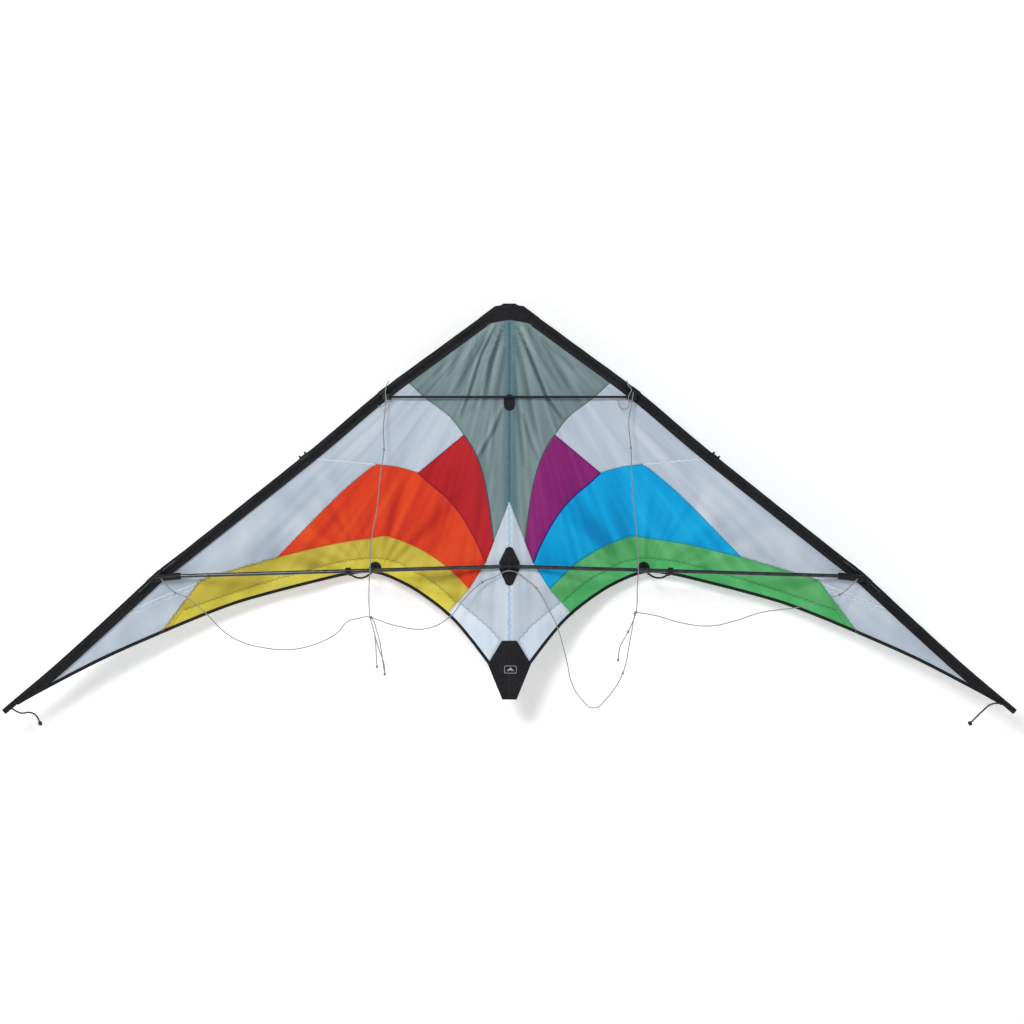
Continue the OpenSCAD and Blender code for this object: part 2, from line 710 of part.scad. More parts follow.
spine_rod();
spine_tape();
spine_patches();
spine_end_cap();
nose_patch();
tail_patch();
centre_tee();
upper_spreader();
on_left() grey_panel();  // grey_panel_left
on_left() upper_white_panel();  // upper_white_panel_left
on_left() middle_white_panel();  // middle_white_panel_left
on_left() tip_white_panel();  // tip_white_panel_left
on_left() inner_colour_panel("#B01F27");  // red_panel_left
on_left() middle_colour_panel("#D44226");  // orange_panel_left
on_left() outer_colour_panel("#C4B44A");  // yellow_panel_left
on_left() centre_panel();  // centre_panel_left
grey_panel();  // grey_panel_right
upper_white_panel();  // upper_white_panel_right
middle_white_panel();  // middle_white_panel_right
tip_white_panel();  // tip_white_panel_right
inner_colour_panel("#84266F");  // purple_panel_right
middle_colour_panel("#03A4DC");  // blue_panel_right
outer_colour_panel("#5BAE6B");  // green_panel_right
centre_panel();  // centre_panel_right
on_left() leading_edge_sleeve();  // leading_edge_sleeve_left
leading_edge_sleeve();  // leading_edge_sleeve_right
on_left() trailing_edge_binding();  // trailing_edge_binding_left
trailing_edge_binding();  // trailing_edge_binding_right
on_left() upper_leading_rod();  // upper_leading_rod_left
upper_leading_rod();  // upper_leading_rod_right
on_left() lower_leading_rod();  // lower_leading_rod_left
lower_leading_rod();  // lower_leading_rod_right
on_left() leading_ferrule();  // leading_ferrule_left
leading_ferrule();  // leading_ferrule_right
on_left() lower_spreader();  // lower_spreader_left
lower_spreader();  // lower_spreader_right
on_left() upper_fitting();  // upper_fitting_left
upper_fitting();  // upper_fitting_right
on_left() lower_fitting();  // lower_fitting_left
lower_fitting();  // lower_fitting_right
on_left() middle_clip();  // middle_clip_left
middle_clip();  // middle_clip_right
on_left() tip_nock();  // tip_nock_left
tip_nock();  // tip_nock_right
on_left() standoff_clip();  // standoff_clip_left
standoff_clip();  // standoff_clip_right
on_left() standoff_rod();  // standoff_rod_left
standoff_rod();  // standoff_rod_right
on_left() standoff_cap();  // standoff_cap_left
standoff_cap();  // standoff_cap_right
on_left() standoff_patch();  // standoff_patch_left
standoff_patch();  // standoff_patch_right
color(line_colour) cord(upper_leg_left, line_d);  // upper_bridle_leg_left
color(line_colour) cord(upper_leg_right, line_d);  // upper_bridle_leg_right
color(line_colour) cord(outer_leg_left, line_d);  // outer_bridle_leg_left
color(line_colour) cord(outer_leg_right, line_d);  // outer_bridle_leg_right
color(line_colour) cord(inner_leg_left, line_d);  // inner_bridle_leg_left
color(line_colour) cord(inner_leg_right, line_d);  // inner_bridle_leg_right
color("#1E332E") cord(tip_cord_points_left, tip_cord_d);  // tip_cord_left
color("#1E332E") cord(tip_cord_points_right, tip_cord_d);  // tip_cord_right
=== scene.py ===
"""Dual-line delta kite: ripstop sail, carbon frame, moulded fittings and line bridle."""

import math

import bpy
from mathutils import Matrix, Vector, noise
from mathutils.geometry import delaunay_2d_cdt


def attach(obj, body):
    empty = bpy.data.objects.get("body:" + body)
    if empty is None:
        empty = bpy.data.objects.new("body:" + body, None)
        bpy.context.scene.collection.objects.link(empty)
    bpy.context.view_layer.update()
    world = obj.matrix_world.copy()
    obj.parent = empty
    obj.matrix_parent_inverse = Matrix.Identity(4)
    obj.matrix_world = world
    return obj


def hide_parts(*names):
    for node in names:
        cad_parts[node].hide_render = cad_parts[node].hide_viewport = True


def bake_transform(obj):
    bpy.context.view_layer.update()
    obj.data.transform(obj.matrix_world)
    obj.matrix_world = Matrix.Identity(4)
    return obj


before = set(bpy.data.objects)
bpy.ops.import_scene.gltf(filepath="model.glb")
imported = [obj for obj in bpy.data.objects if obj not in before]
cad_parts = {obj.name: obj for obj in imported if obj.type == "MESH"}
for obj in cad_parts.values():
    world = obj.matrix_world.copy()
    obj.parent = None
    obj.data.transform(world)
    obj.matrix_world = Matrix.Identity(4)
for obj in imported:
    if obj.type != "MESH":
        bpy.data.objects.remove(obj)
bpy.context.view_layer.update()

bl_info = {
    "name": "Delta Kite",
    "version": (1, 0, 0),
    "blender": (4, 5, 0),
    "location": "View3D > Sidebar > Kite",
    "description": "Builds the cloth, lines, fittings and stage of a dual-line delta kite",
    "category": "Object",
}

MM = 0.001
SIDES = (("left", -1), ("right", 1))

# ---- The kite's lines, in millimetres from the nose, as (x, z) on the right-hand side ----

EDGE = [(22, -4), (106, -65.5), (198, -133.5), (289, -210.5), (381, -284.5), (503, -381),
        (533, -404), (564, -432), (625, -488.5), (698, -554.5), (759, -606)]
TRAILING = [(33, -552), (62, -515), (90, -484), (124, -457), (163, -433), (209, -415),
            (248, -417), (294, -427), (387, -451), (448, -470.5), (539, -508),
            (628, -548), (714, -593), (741, -608)]
APEX = (0, -303)
SEAMS = {
    "grey_white": [(165, -110.5), (149, -125.4), (131, -142), (111, -157), (95, -169), (82, -183),
                   (69.5, -201)],
    "grey_colour": [(69.5, -201), (56, -222), (45, -247), (37, -277), (31.5, -307), (24, -364)],
    "white_inner": [(69.5, -201), (140, -259)],
    "inner_centre": [(24, -364), (37, -397)],
    "inner_middle": [(140, -259), (123, -275), (97, -297), (72, -327), (49, -368), (37, -397)],
    "white_middle": [(140, -259), (172, -250), (206, -246)],
    "tip_middle": [(206, -246), (234, -268), (275, -305), (358, -389)],
    "middle_outer": [(358, -389), (275, -369), (216, -360), (189, -357), (150, -371),
                     (123, -385), (95, -405), (62, -437)],
    "middle_centre": [(37, -397), (62, -437)],
    "white_outer": [(358, -389), (432, -411), (475, -424)],
    "tip_outer": [(475, -424), (539, -508)],
    "outer_centre": [(62, -437), (98, -478)],
    "upper_cross": [(206, -246), (330, -234)],
    "lower_cross": [(475, -424), (491, -433), (526, -446), (566, -464), (596, -470)],
}
DOUBLED = [(503, -470), (473, -460), (430, -445), (381, -429), (274, -399), (230, -392),
           (204, -391), (172, -398), (153, -409), (128, -421), (106, -437), (82, -458)]
KEEL_HEM = [(79, -457), (51, -479), (32, -495), (14, -515)]
SAIL_DEPTH = 72
STANDOFF_X = 209
KEEL_HALF = 20
BELLY_REACH = 720
# The keel end of the outer panels, and how far out the centre panel's trailing edge goes
KEEL_CORNER = (98, -478)
CENTRE_REACH = 97
LABEL_X, LABEL_Z = 1.6, -560
# The sleeve: edge to rod, its width, how far the sail runs in under it, and its rod pocket
ROD_INSET = 5
SLEEVE_W = 17.5
TUCK = 9
POCKET_R = 4.3
HEM_GAP = 0.75
SLEEVE_START = 41
# From here the sleeve narrows to the wing tip
TAPER_FROM, TAPER_RUN = 722, 34
# Openings in the sleeve, as (x, half length): all round at a fitting, and in front beside one
OPEN_ALL_ROUND = ((192, 8.5), (313, 7.5), (543, 13.5))
OPEN_IN_FRONT = ((520, 13), (560, 11))
# The binding's cross-section, as (in from the edge, out from the cloth)
BINDING_DEPTH = 4.6
BINDING_RING = ((0.0, 0.0), (0.3, 0.75), (2.4, 0.62), (BINDING_DEPTH, 0.5),
                (BINDING_DEPTH, -0.8), (2.4, -0.92), (0.3, -1.05), (0.0, -0.3))
TAIL = [(0, -516), (11.5, -516), (33, -552), (11, -606), (0, -606)]
RHOMBUS = [(0, -372), (5, -374), (15.7, -396), (15.7, -406), (5, -430), (0, -432)]
OVAL = [(0, -139), (4, -139.8), (7.4, -143), (8.5, -148), (8.5, -155), (7.4, -160), (4, -163.2),
        (0, -164)]
NOSE = [(0, 0), (9, 0), (14, -3), (22, -4), (46, -22), (38, -35), (28, -30), (18, -28), (0, -25)]

# Creases in the grey cloth, as points with a width and a depth, which also sets how strong the
# painted shade along them and the painted highlight beside them are; left and right differ
CREASES = {
    -1: [([(73, -68), (95, -112)], 4.5, 0.6), ([(43, -51), (84, -141)], 5, 0.8),
         ([(21, -35), (43, -78), (63, -141), (76, -176)], 2.2, 1.2),
         ([(7, -32), (28, -88), (41, -162)], 3.6, 1.05),
         ([(10, -162), (26, -198), (51, -243)], 3, 0.9), ([(35, -44), (51, -81)], 2.6, 0.7),
         ([(14, -31), (34, -94), (49, -145), (61, -167)], 4.4, 0.5),
         ([(6, -70), (17, -130), (24, -210), (26, -260)], 4, 0.6),
         ([(96, -84), (118, -112)], 5, 0.5)],
    1: [([(11, -35), (30, -77), (56, -141), (81, -177)], 2.8, 1.05),
        ([(26, -32), (49, -82), (82, -136)], 3.8, 0.65),
        ([(34, -38), (75, -101), (95, -131)], 6, 0.7),
        ([(8, -51), (26, -128), (41, -204)], 5, 0.6), ([(51, -53), (102, -101)], 4.4, 0.6),
        ([(6, -90), (14, -170), (22, -250)], 3.6, 0.6),
        ([(20, -170), (34, -215), (44, -240)], 3, 0.6)],
}

# ---- The cords' routes, in metres, as their frame solids have them ----

LINES = {
    "upper_bridle_leg_left": [
        (-0.189, -0.013, -0.137), (-0.188, -0.015, -0.15), (-0.189, -0.015, -0.16),
        (-0.192, -0.017, -0.194), (-0.191, -0.019, -0.224), (-0.196, -0.021, -0.26),
        (-0.202, -0.024, -0.319), (-0.21, -0.028, -0.362), (-0.211, -0.03, -0.395),
        (-0.213, -0.032, -0.438), (-0.211, -0.033, -0.479), (-0.205, -0.032, -0.502),
        (-0.201, -0.03, -0.554)],
    "upper_bridle_leg_right": [
        (0.189, -0.013, -0.136), (0.187, -0.015, -0.15), (0.185, -0.015, -0.161),
        (0.182, -0.017, -0.179), (0.185, -0.019, -0.221), (0.187, -0.021, -0.286),
        (0.194, -0.025, -0.355), (0.196, -0.029, -0.394), (0.194, -0.032, -0.438),
        (0.192, -0.033, -0.471), (0.18, -0.032, -0.501), (0.168, -0.03, -0.524),
        (0.165, -0.029, -0.544)],
    "outer_bridle_leg_left": [
        (-0.531, -0.014, -0.421), (-0.509, -0.018, -0.442), (-0.497, -0.019, -0.446),
        (-0.473, -0.02, -0.463), (-0.426, -0.022, -0.507), (-0.406, -0.023, -0.517),
        (-0.381, -0.024, -0.524), (-0.332, -0.026, -0.528), (-0.293, -0.028, -0.519),
        (-0.262, -0.03, -0.503), (-0.245, -0.033, -0.485), (-0.227, -0.034, -0.48),
        (-0.211, -0.0355, -0.479), (-0.201, -0.034, -0.5), (-0.189, -0.032, -0.565)],
    "outer_bridle_leg_right": [
        (0.531, -0.014, -0.421), (0.503, -0.018, -0.445), (0.489, -0.019, -0.449),
        (0.468, -0.02, -0.457), (0.438, -0.022, -0.464), (0.382, -0.024, -0.472),
        (0.344, -0.026, -0.484), (0.306, -0.028, -0.492), (0.26, -0.031, -0.487),
        (0.222, -0.034, -0.476), (0.192, -0.0355, -0.471)],
    "inner_bridle_leg_left": [
        (-0.008, -0.009, -0.41), (-0.013, -0.0095, -0.413), (-0.022, -0.01, -0.418),
        (-0.041, -0.012, -0.426), (-0.07, -0.015, -0.453), (-0.089, -0.018, -0.477),
        (-0.125, -0.024, -0.496), (-0.17, -0.031, -0.492), (-0.209, -0.0375, -0.479)],
    "inner_bridle_leg_right": [
        (0.008, -0.009, -0.41), (0.014, -0.0095, -0.413), (0.025, -0.01, -0.421),
        (0.041, -0.012, -0.435), (0.059, -0.014, -0.466), (0.072, -0.016, -0.492),
        (0.087, -0.018, -0.544), (0.096, -0.019, -0.582), (0.11, -0.021, -0.604),
        (0.128, -0.023, -0.617), (0.148, -0.026, -0.602), (0.172, -0.03, -0.564),
        (0.183, -0.034, -0.513), (0.19, -0.0375, -0.473)],
}
TIP_LINES = {
    "tip_cord_left": [
        (-0.76, -0.008, -0.619), (-0.745, -0.009, -0.626), (-0.733, -0.008, -0.625),
        (-0.724, -0.006, -0.629), (-0.717, -0.005, -0.642)],
    "tip_cord_right": [
        (0.76, -0.008, -0.616), (0.745, -0.009, -0.611), (0.735, -0.008, -0.613),
        (0.723, -0.006, -0.623), (0.704, -0.005, -0.642)],
}
# Which points of each bridle leg have a knot; a tip cord has one at its far end
KNOTS = {
    "upper_bridle_leg_left": (1, 4, 10, 12), "upper_bridle_leg_right": (1, 4, 9, 12, 10),
    "outer_bridle_leg_left": (1, 14), "outer_bridle_leg_right": (1, 10),
    "inner_bridle_leg_left": (3, 8), "inner_bridle_leg_right": (3, 11, 13),
}
# Short ends and loops of the same line: what each rides, and its route in metres
LINE_ENDS = {
    "bridle_centre_loop": ("frame", [
        (-0.008, -0.009, -0.41), (-0.004, -0.0125, -0.409), (0, -0.0135, -0.4086),
        (0.004, -0.0125, -0.409), (0.008, -0.009, -0.41)]),
    "bridle_tie_left": ("left_wing", [
        (-0.184, -0.0065, -0.119), (-0.1875, -0.01, -0.126), (-0.189, -0.013, -0.137),
        (-0.188, -0.0155, -0.151), (-0.196, -0.014, -0.159), (-0.2005, -0.013, -0.157)]),
    "bridle_tie_right": ("right_wing", [
        (0.1796, -0.0065, -0.118), (0.181, -0.009, -0.1245), (0.186, -0.013, -0.132),
        (0.182, -0.0145, -0.142), (0.1795, -0.014, -0.161), (0.1695, -0.012, -0.16),
        (0.1657, -0.011, -0.1485)]),
    "bridle_pigtail_left": ("left_wing", [
        (-0.206, -0.0325, -0.499), (-0.1985, -0.0335, -0.525), (-0.1905, -0.033, -0.548),
        (-0.1885, -0.032, -0.566)]),
}


# ---- Small helpers ----

def unit(v):
    """A direction, one long."""
    size = math.hypot(v[0], v[1])
    return v[0] / size, v[1] / size


def look(x, table):
    """Straight-line reading of an (x, z) table."""
    if x <= table[0][0]:
        return table[0][1]
    for (xa, za), (xb, zb) in zip(table, table[1:]):
        if x <= xb:
            return za + (zb - za) * (x - xa) / (xb - xa)
    return table[-1][1]


def beside(line, i, by):
    """The line's point i, moved square to the line by a distance."""
    a, b = line[max(i - 1, 0)], line[min(i + 1, len(line) - 1)]
    wx, wz = unit((b[0] - a[0], b[1] - a[1]))
    return line[i][0] + by * wz, line[i][1] - by * wx


def inset(by, line=EDGE):
    """The line moved in towards the sail."""
    return [beside(line, i, by) for i in range(len(line))]


def smooth_line(points, parts=6):
    """A rounder line through the same points."""
    out = []
    for i in range(len(points) - 1):
        p0, p1, p2, p3 = (points[max(i - 1, 0)], points[i], points[i + 1],
                          points[min(i + 2, len(points) - 1)])
        for k in range(parts):
            t = k / parts
            out.append(tuple(
                0.5 * (2 * b + (c - a) * t + (2 * a - 5 * b + 4 * c - d) * t * t
                       + (3 * b - a - 3 * c + d) * t ** 3)
                for a, b, c, d in zip(p0, p1, p2, p3)))
    return out + [tuple(points[-1])]


def spaced(line, step):
    """Points at even steps along a line, ends kept."""
    out = [line[0]]
    for a, b in zip(line, line[1:]):
        reach = math.dist(a, b)
        if reach < 1e-6:
            continue
        n = max(1, round(reach / step))
        out += [tuple(p + (q - p) * k / n for p, q in zip(a, b)) for k in range(1, n + 1)]
    return out


def even(line, step):
    """The line walked in equal steps."""
    total = sum(math.dist(a, b) for a, b in zip(line, line[1:]))
    n = max(1, round(total / step))
    out, i, gone = [line[0]], 0, 0.0
    for k in range(1, n):
        want = total * k / n
        while gone + math.dist(line[i], line[i + 1]) < want:
            gone += math.dist(line[i], line[i + 1])
            i += 1
        t = (want - gone) / math.dist(line[i], line[i + 1])
        out.append(tuple(p + (q - p) * t for p, q in zip(line[i], line[i + 1])))
    return out + [line[-1]]


ROD_LINE = inset(ROD_INSET)
TUCK_LINE = inset(TUCK)
# The trailing edge, rounded, and as a table that also covers the keel
TE_LINE = smooth_line(TRAILING)
TE_TABLE = [(0, -560)] + TRAILING


def te_between(low, high):
    """The trailing edge's points between two places, from the tip towards the keel."""
    return [p for p in TE_LINE[::-1] if low < p[0] <= high]


def across(x):
    """The belly's share from keel to tip: nothing at the keel, all of it at the standoff."""
    if x <= KEEL_HALF:
        return 0
    if x < STANDOFF_X:
        return math.sin(math.pi / 2 * (x - KEEL_HALF) / (STANDOFF_X - KEEL_HALF)) ** 1.3
    out = min(1, (x - STANDOFF_X) / (BELLY_REACH - STANDOFF_X))
    return max(0, math.cos(math.pi / 2 * out)) ** 1.1


def fall(x, z):
    """How far down the sail a place is: 0 at the leading edge, 1 at the trailing edge."""
    top = look(x, EDGE)
    return (top - z) / max(20, top - look(x, TE_TABLE))


def sail_y(x, z):
    """The smooth sail's depth behind the frame."""
    return SAIL_DEPTH * across(x) * max(0, min(1.2, fall(x, z))) ** 1.6


def segment_gap(x, z, line):
    """Distance to a line, with how far along its nearest point is and on which side."""
    best = (1e9, 0, 1)
    for i, (a, b) in enumerate(zip(line, line[1:])):
        dx, dz = b[0] - a[0], b[1] - a[1]
        t = max(0, min(1, ((x - a[0]) * dx + (z - a[1]) * dz) / (dx * dx + dz * dz)))
        px, pz = x - a[0] - t * dx, z - a[1] - t * dz
        gap = math.hypot(px, pz)
        if gap < best[0]:
            best = (gap, (i + t) / (len(line) - 1), 1 if dx * pz - dz * px > 0 else -1)
    return best


def ruffle(x, z, side):
    """How far the folds move the cloth back, in mm, and the painted shade they lay on its colour,
    from -1 (darkest) to 1 (a painted highlight).
    """
    depth, painted_shade = 0.0, 0.0
    if z > -310 and x < 180:
        for line, width, strength in CREASES[side]:
            gap, along, hand = segment_gap(x, z, line)
            if gap < 4 * width:
                taper = math.sin(math.pi * min(1, max(0, along) * 0.9 + 0.1)) ** 0.4
                valley = strength * taper * math.exp(-(gap / width) ** 2)
                ridge = 0.6 * strength * taper * math.exp(-((gap - 1.9 * width) / width) ** 2)
                depth += 1.5 * valley - 0.8 * ridge
                # Painted shade in the valley, and a painted highlight on the ridge beside it, on
                # one side only
                painted_shade += ridge * (0.5 + 0.5 * hand) - valley
    # Folds that fan out from the nose
    turn, far = math.atan2(x, 6 - z), math.hypot(x, z)
    ray = noise.noise(Vector((turn * 15 + 3 * side, far * 0.005, 4.0 + side)))
    fine = noise.noise(Vector((turn * 46, far * 0.008, 9.0 + side)))
    calm = max(0.25, 1 - far / 420)
    depth -= (1.3 * ray + 0.4 * fine) * calm
    # These folds also paint shade and highlight into the cloth's colour
    painted_shade += (0.7 * ray + 0.75 * fine) * max(0.6, calm)
    # Folds that run out from the standoff's push
    lean, near = math.atan2(x - STANDOFF_X, z + 425), math.hypot(x - STANDOFF_X, z + 425)
    pull = noise.noise(Vector((lean * 7, near * 0.004, 15.0 + side)))
    fade = math.exp(-((near - 60) / 110) ** 2) if near > 60 else near / 60
    depth -= 1.6 * pull * fade
    painted_shade += 1.1 * pull * fade
    # Long ripples towards the tip
    if x > 250:
        span = noise.noise(Vector((x * 0.035, z * 0.011 + x * 0.008, 22.0 + side)))
        depth -= 1.0 * span
        painted_shade += 0.4 * span
    # The sleeve, the spine and the hem hold the cloth still
    hold = min(1, max(0, (look(x, EDGE) - z - 20) / 22)) * min(1, x / 6)
    hem = min(1, max(0.15, (z - look(x, TE_TABLE) - 2) / 25)) if x > 33 else 1
    return depth * hold * hem, painted_shade * min(1, hold + 0.35)


def cloth_y(x, z, side, lift=0.0):
    """The cloth's front face at a place, lifted towards the front, in mm."""
    return sail_y(x, z) + ruffle(x, z, side)[0] - lift


def on_cloth(x, z, side, lift):
    """The point on the cloth at a place, lifted towards the front, and the painted shade of its
    colour there.
    """
    depth, painted_shade = ruffle(x, z, side)
    return (x * side, sail_y(x, z) + depth - lift, z), painted_shade


def linear(text):
    """An sRGB hex colour, or a colour setting, as the linear colour that the shaders want."""
    if not isinstance(text, str):
        return (*text, 1)
    parts = [int(text[i:i + 2], 16) / 255 for i in (1, 3, 5)]
    return tuple(c / 12.92 if c <= 0.04045 else ((c + 0.055) / 1.055) ** 2.4 for c in parts) + (1,)


def calm_selection():
    """Object mode, with nothing selected."""
    if bpy.context.object and bpy.context.object.mode != "OBJECT":
        bpy.ops.object.mode_set(mode="OBJECT")
    bpy.ops.object.select_all(action="DESELECT")


def only(piece):
    calm_selection()
    piece.select_set(True)
    bpy.context.view_layer.objects.active = piece
    return piece


def edit_all(piece, operator, **settings):
    """Runs one edit-mode operator over the whole piece."""
    only(piece)
    bpy.ops.object.mode_set(mode="EDIT")
    bpy.ops.mesh.select_all(action="SELECT")
    operator(**settings)
    bpy.ops.object.mode_set(mode="OBJECT")
    return piece


def face_front(piece):
    """Faces that point outwards all over."""
    return edit_all(piece, bpy.ops.mesh.normals_make_consistent, inside=False)


def apply_modifier(piece, kind, **settings):
    only(piece)
    modifier = piece.modifiers.new(kind.title(), kind)
    for key, value in settings.items():
        setattr(modifier, key, value)
    bpy.ops.object.modifier_apply(modifier=modifier.name)
    return piece


def mesh_piece(name, points, faces, material, smooth=True, painted_shades=None):
    """A mesh made from points in millimetres."""
    mesh = bpy.data.meshes.new(name)
    mesh.from_pydata([[c * MM for c in p] for p in points], [], faces)
    mesh.validate()
    piece = bpy.data.objects.new(name, mesh)
    bpy.context.scene.collection.objects.link(piece)
    # Each point's painted shade from the folds, which the cloth's colour ramp reads
    if painted_shades is not None:
        layer = mesh.attributes.new("crease", "FLOAT", "POINT")
        layer.data.foreach_set("value", painted_shades)
    if smooth:
        for face in mesh.polygons:
            face.use_smooth = True
    mesh.materials.append(material)
    return piece


def place_on(piece, body, stands_for=()):
    """The body a piece rides, or a wing and its side for cloth beside the spine, which only has
    its placement baked into its points.
    """
    if isinstance(body, str):
        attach(piece, body)
    else:
        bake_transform(piece)
    if stands_for:
        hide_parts(*stands_for)
    return piece


def wing_of(side):
    return "left_wing" if side < 0 else "right_wing"


# ---- Sheets that lie on the sail's surface ----

def filled(outline, step):
    """Triangles that fill an outline with points about a step apart."""
    rim = spaced(outline + outline[:1], step)[:-1]
    rim = [p for i, p in enumerate(rim) if math.dist(p, rim[i - 1]) > 0.05]
    zs = [p[1] for p in rim]
    cells = {}
    for p in rim:
        cells.setdefault((int(p[0] // step), int(p[1] // step)), []).append(p)

    def clear(p):
        cx, cz = int(p[0] // step), int(p[1] // step)
        return all(math.dist(p, q) > 0.55 * step for i in (-1, 0, 1) for k in (-1, 0, 1)
                   for q in cells.get((cx + i, cz + k), ()))

    inner = []
    rows = int((max(zs) - min(zs)) / (step * 0.87)) + 1
    for k in range(rows):
        z = min(zs) + (k + 0.5) * step * 0.87
        cuts = sorted(xa + (xb - xa) * (z - za) / (zb - za)
                      for (xa, za), (xb, zb) in zip(rim, rim[1:] + rim[:1])
                      if (za > z) != (zb > z))
        for lo, hi in zip(cuts[::2], cuts[1::2]):
            i = math.ceil((lo - (k % 2) * step / 2) / step)
            while (x := i * step + (k % 2) * step / 2) < hi:
                if clear((x, z)):
                    inner.append((x, z))
                i += 1
    loop = list(range(len(rim)))
    points, _, faces, *_ = delaunay_2d_cdt(
        [Vector(p) for p in rim + inner], [], [loop], 1, 0.001)
    return [tuple(p) for p in points], [list(f) for f in faces]


def facing_front(face, points, side):
    """A flat sheet's face, turned over if it would look backwards."""
    (xa, za), (xb, zb), (xc, zc) = (points[i] for i in face[:3])
    turn = ((xb - xa) * (zc - za) - (xc - xa) * (zb - za)) * side
    return face[::-1] if turn < 0 else face


def mirrored_sheet(name, flat, side, lift, thick, material):
    """One side's sheet from flat triangles: placed on the cloth, facing front, and thickened."""
    points, faces = flat
    placed, painted_shades = zip(*(on_cloth(x, z, side, lift) for x, z in points))
    ordered = [facing_front(f, points, side) for f in faces]
    piece = mesh_piece(name, placed, ordered, material, painted_shades=painted_shades)
    return apply_modifier(piece, "SOLIDIFY", thickness=thick * MM, offset=-1)


def strip_on_cloth(name, line, side, width, lift, thick, material):
    """A narrow strip of cloth along a line of the sail, a little crowned."""
    line = even(line, 4)
    points, faces, painted_shades = [], [], []
    for i in range(len(line)):
        for k in (-1, 0, 1):
            x, z = beside(line, i, -k * width / 2)
            point, painted_shade = on_cloth(max(0.0, x), z, side, lift + 0.12 * (1 - abs(k)))
            points.append(point)
            painted_shades.append(painted_shade)
    for i in range(len(line) - 1):
        for k in (0, 1):
            a = i * 3 + k
            quad = [a, a + 1, a + 4, a + 3]
            faces.append(quad[::-1] if side > 0 else quad)
    piece = mesh_piece(name, points, faces, material, painted_shades=painted_shades)
    return face_front(apply_modifier(piece, "SOLIDIFY", thickness=thick * MM, offset=-1))


def stitches(name, runs, thick, material, pitch, swing):
    """Zigzag stitching: runs is a list of (line, side, lift), and every leg is a short thread."""
    points, faces = [], []
    for line, side, lift in runs:
        line = even(line, pitch)
        ends = []
        for i in range(len(line)):
            x, z = beside(line, i, swing * (-1 if i % 2 else 1))
            ends.append(Vector((x * side, cloth_y(abs(x), z, side, lift), z)))
        for a, b in zip(ends, ends[1:]):
            along = (b - a).normalized()
            flat = along.cross(Vector((0, 1, 0))).normalized() * thick
            deep = Vector((0, thick, 0))
            n = len(points)
            for end, bow in ((a, 0), ((a + b) / 2, -0.8 * thick), (b, 0)):
                for dx, dy in ((1, -1), (1, 1), (-1, 1), (-1, -1)):
                    points.append(end + flat * dx + deep * dy + Vector((0, bow, 0)))
            for ring in (0, 4):
                for k in range(4):
                    m = (k + 1) % 4
                    faces.append([n + ring + k, n + ring + 4 + k, n + ring + 4 + m, n + ring + m])
            faces += [[n, n + 1, n + 2, n + 3], [n + 11, n + 10, n + 9, n + 8]]
    return face_front(mesh_piece(name, points, faces, material, smooth=False))


def lofted(name, rings, material, caps=True):
    """A skin over closed rings of points, all with the same count."""
    n = len(rings[0])
    points = [p for ring in rings for p in ring]
    faces = []
    for i in range(len(rings) - 1):
        for k in range(n):
            m = (k + 1) % n
            faces.append([i * n + k, i * n + m, (i + 1) * n + m, (i + 1) * n + k])
    if caps:
        faces += [list(range(n))[::-1], [(len(rings) - 1) * n + k for k in range(n)]]
    return mesh_piece(name, points, faces, material)


# ---- Materials ----

def add_node(tree, kind, settings=None, links=None):
    """Adds one node with its settings, such as a ramp's rising stops of (place, colour), and links
    from its inputs to other nodes' outputs."""
    node = tree.nodes.new(kind)
    for key, value in (settings or {}).items():
        if key == "stops":
            stops = node.color_ramp.elements
            while len(stops) < len(value):
                stops.new(0.5)
            for stop, (where, colour) in zip(stops, value):
                stop.position, stop.color = where, linear(colour)
        elif isinstance(key, str) and hasattr(node, key) and key not in node.inputs:
            setattr(node, key, value)
        else:
            node.inputs[key].default_value = value
    for key, output in (links or {}).items():
        tree.links.new(output, node.inputs[key])
    return node


def new_material(name, colour, **shader):
    """A material with its node tree and shader, or with neither where it is made already."""
    material = bpy.data.materials.get(name)
    if material:
        return material, None, None
    material = bpy.data.materials.new(name)
    material.use_nodes = True
    tree = material.node_tree
    surface = tree.nodes["Principled BSDF"]
    surface.inputs["Base Color"].default_value = linear(colour)
    for key, value in shader.items():
        surface.inputs[key.title()].default_value = value
    return material, tree, surface


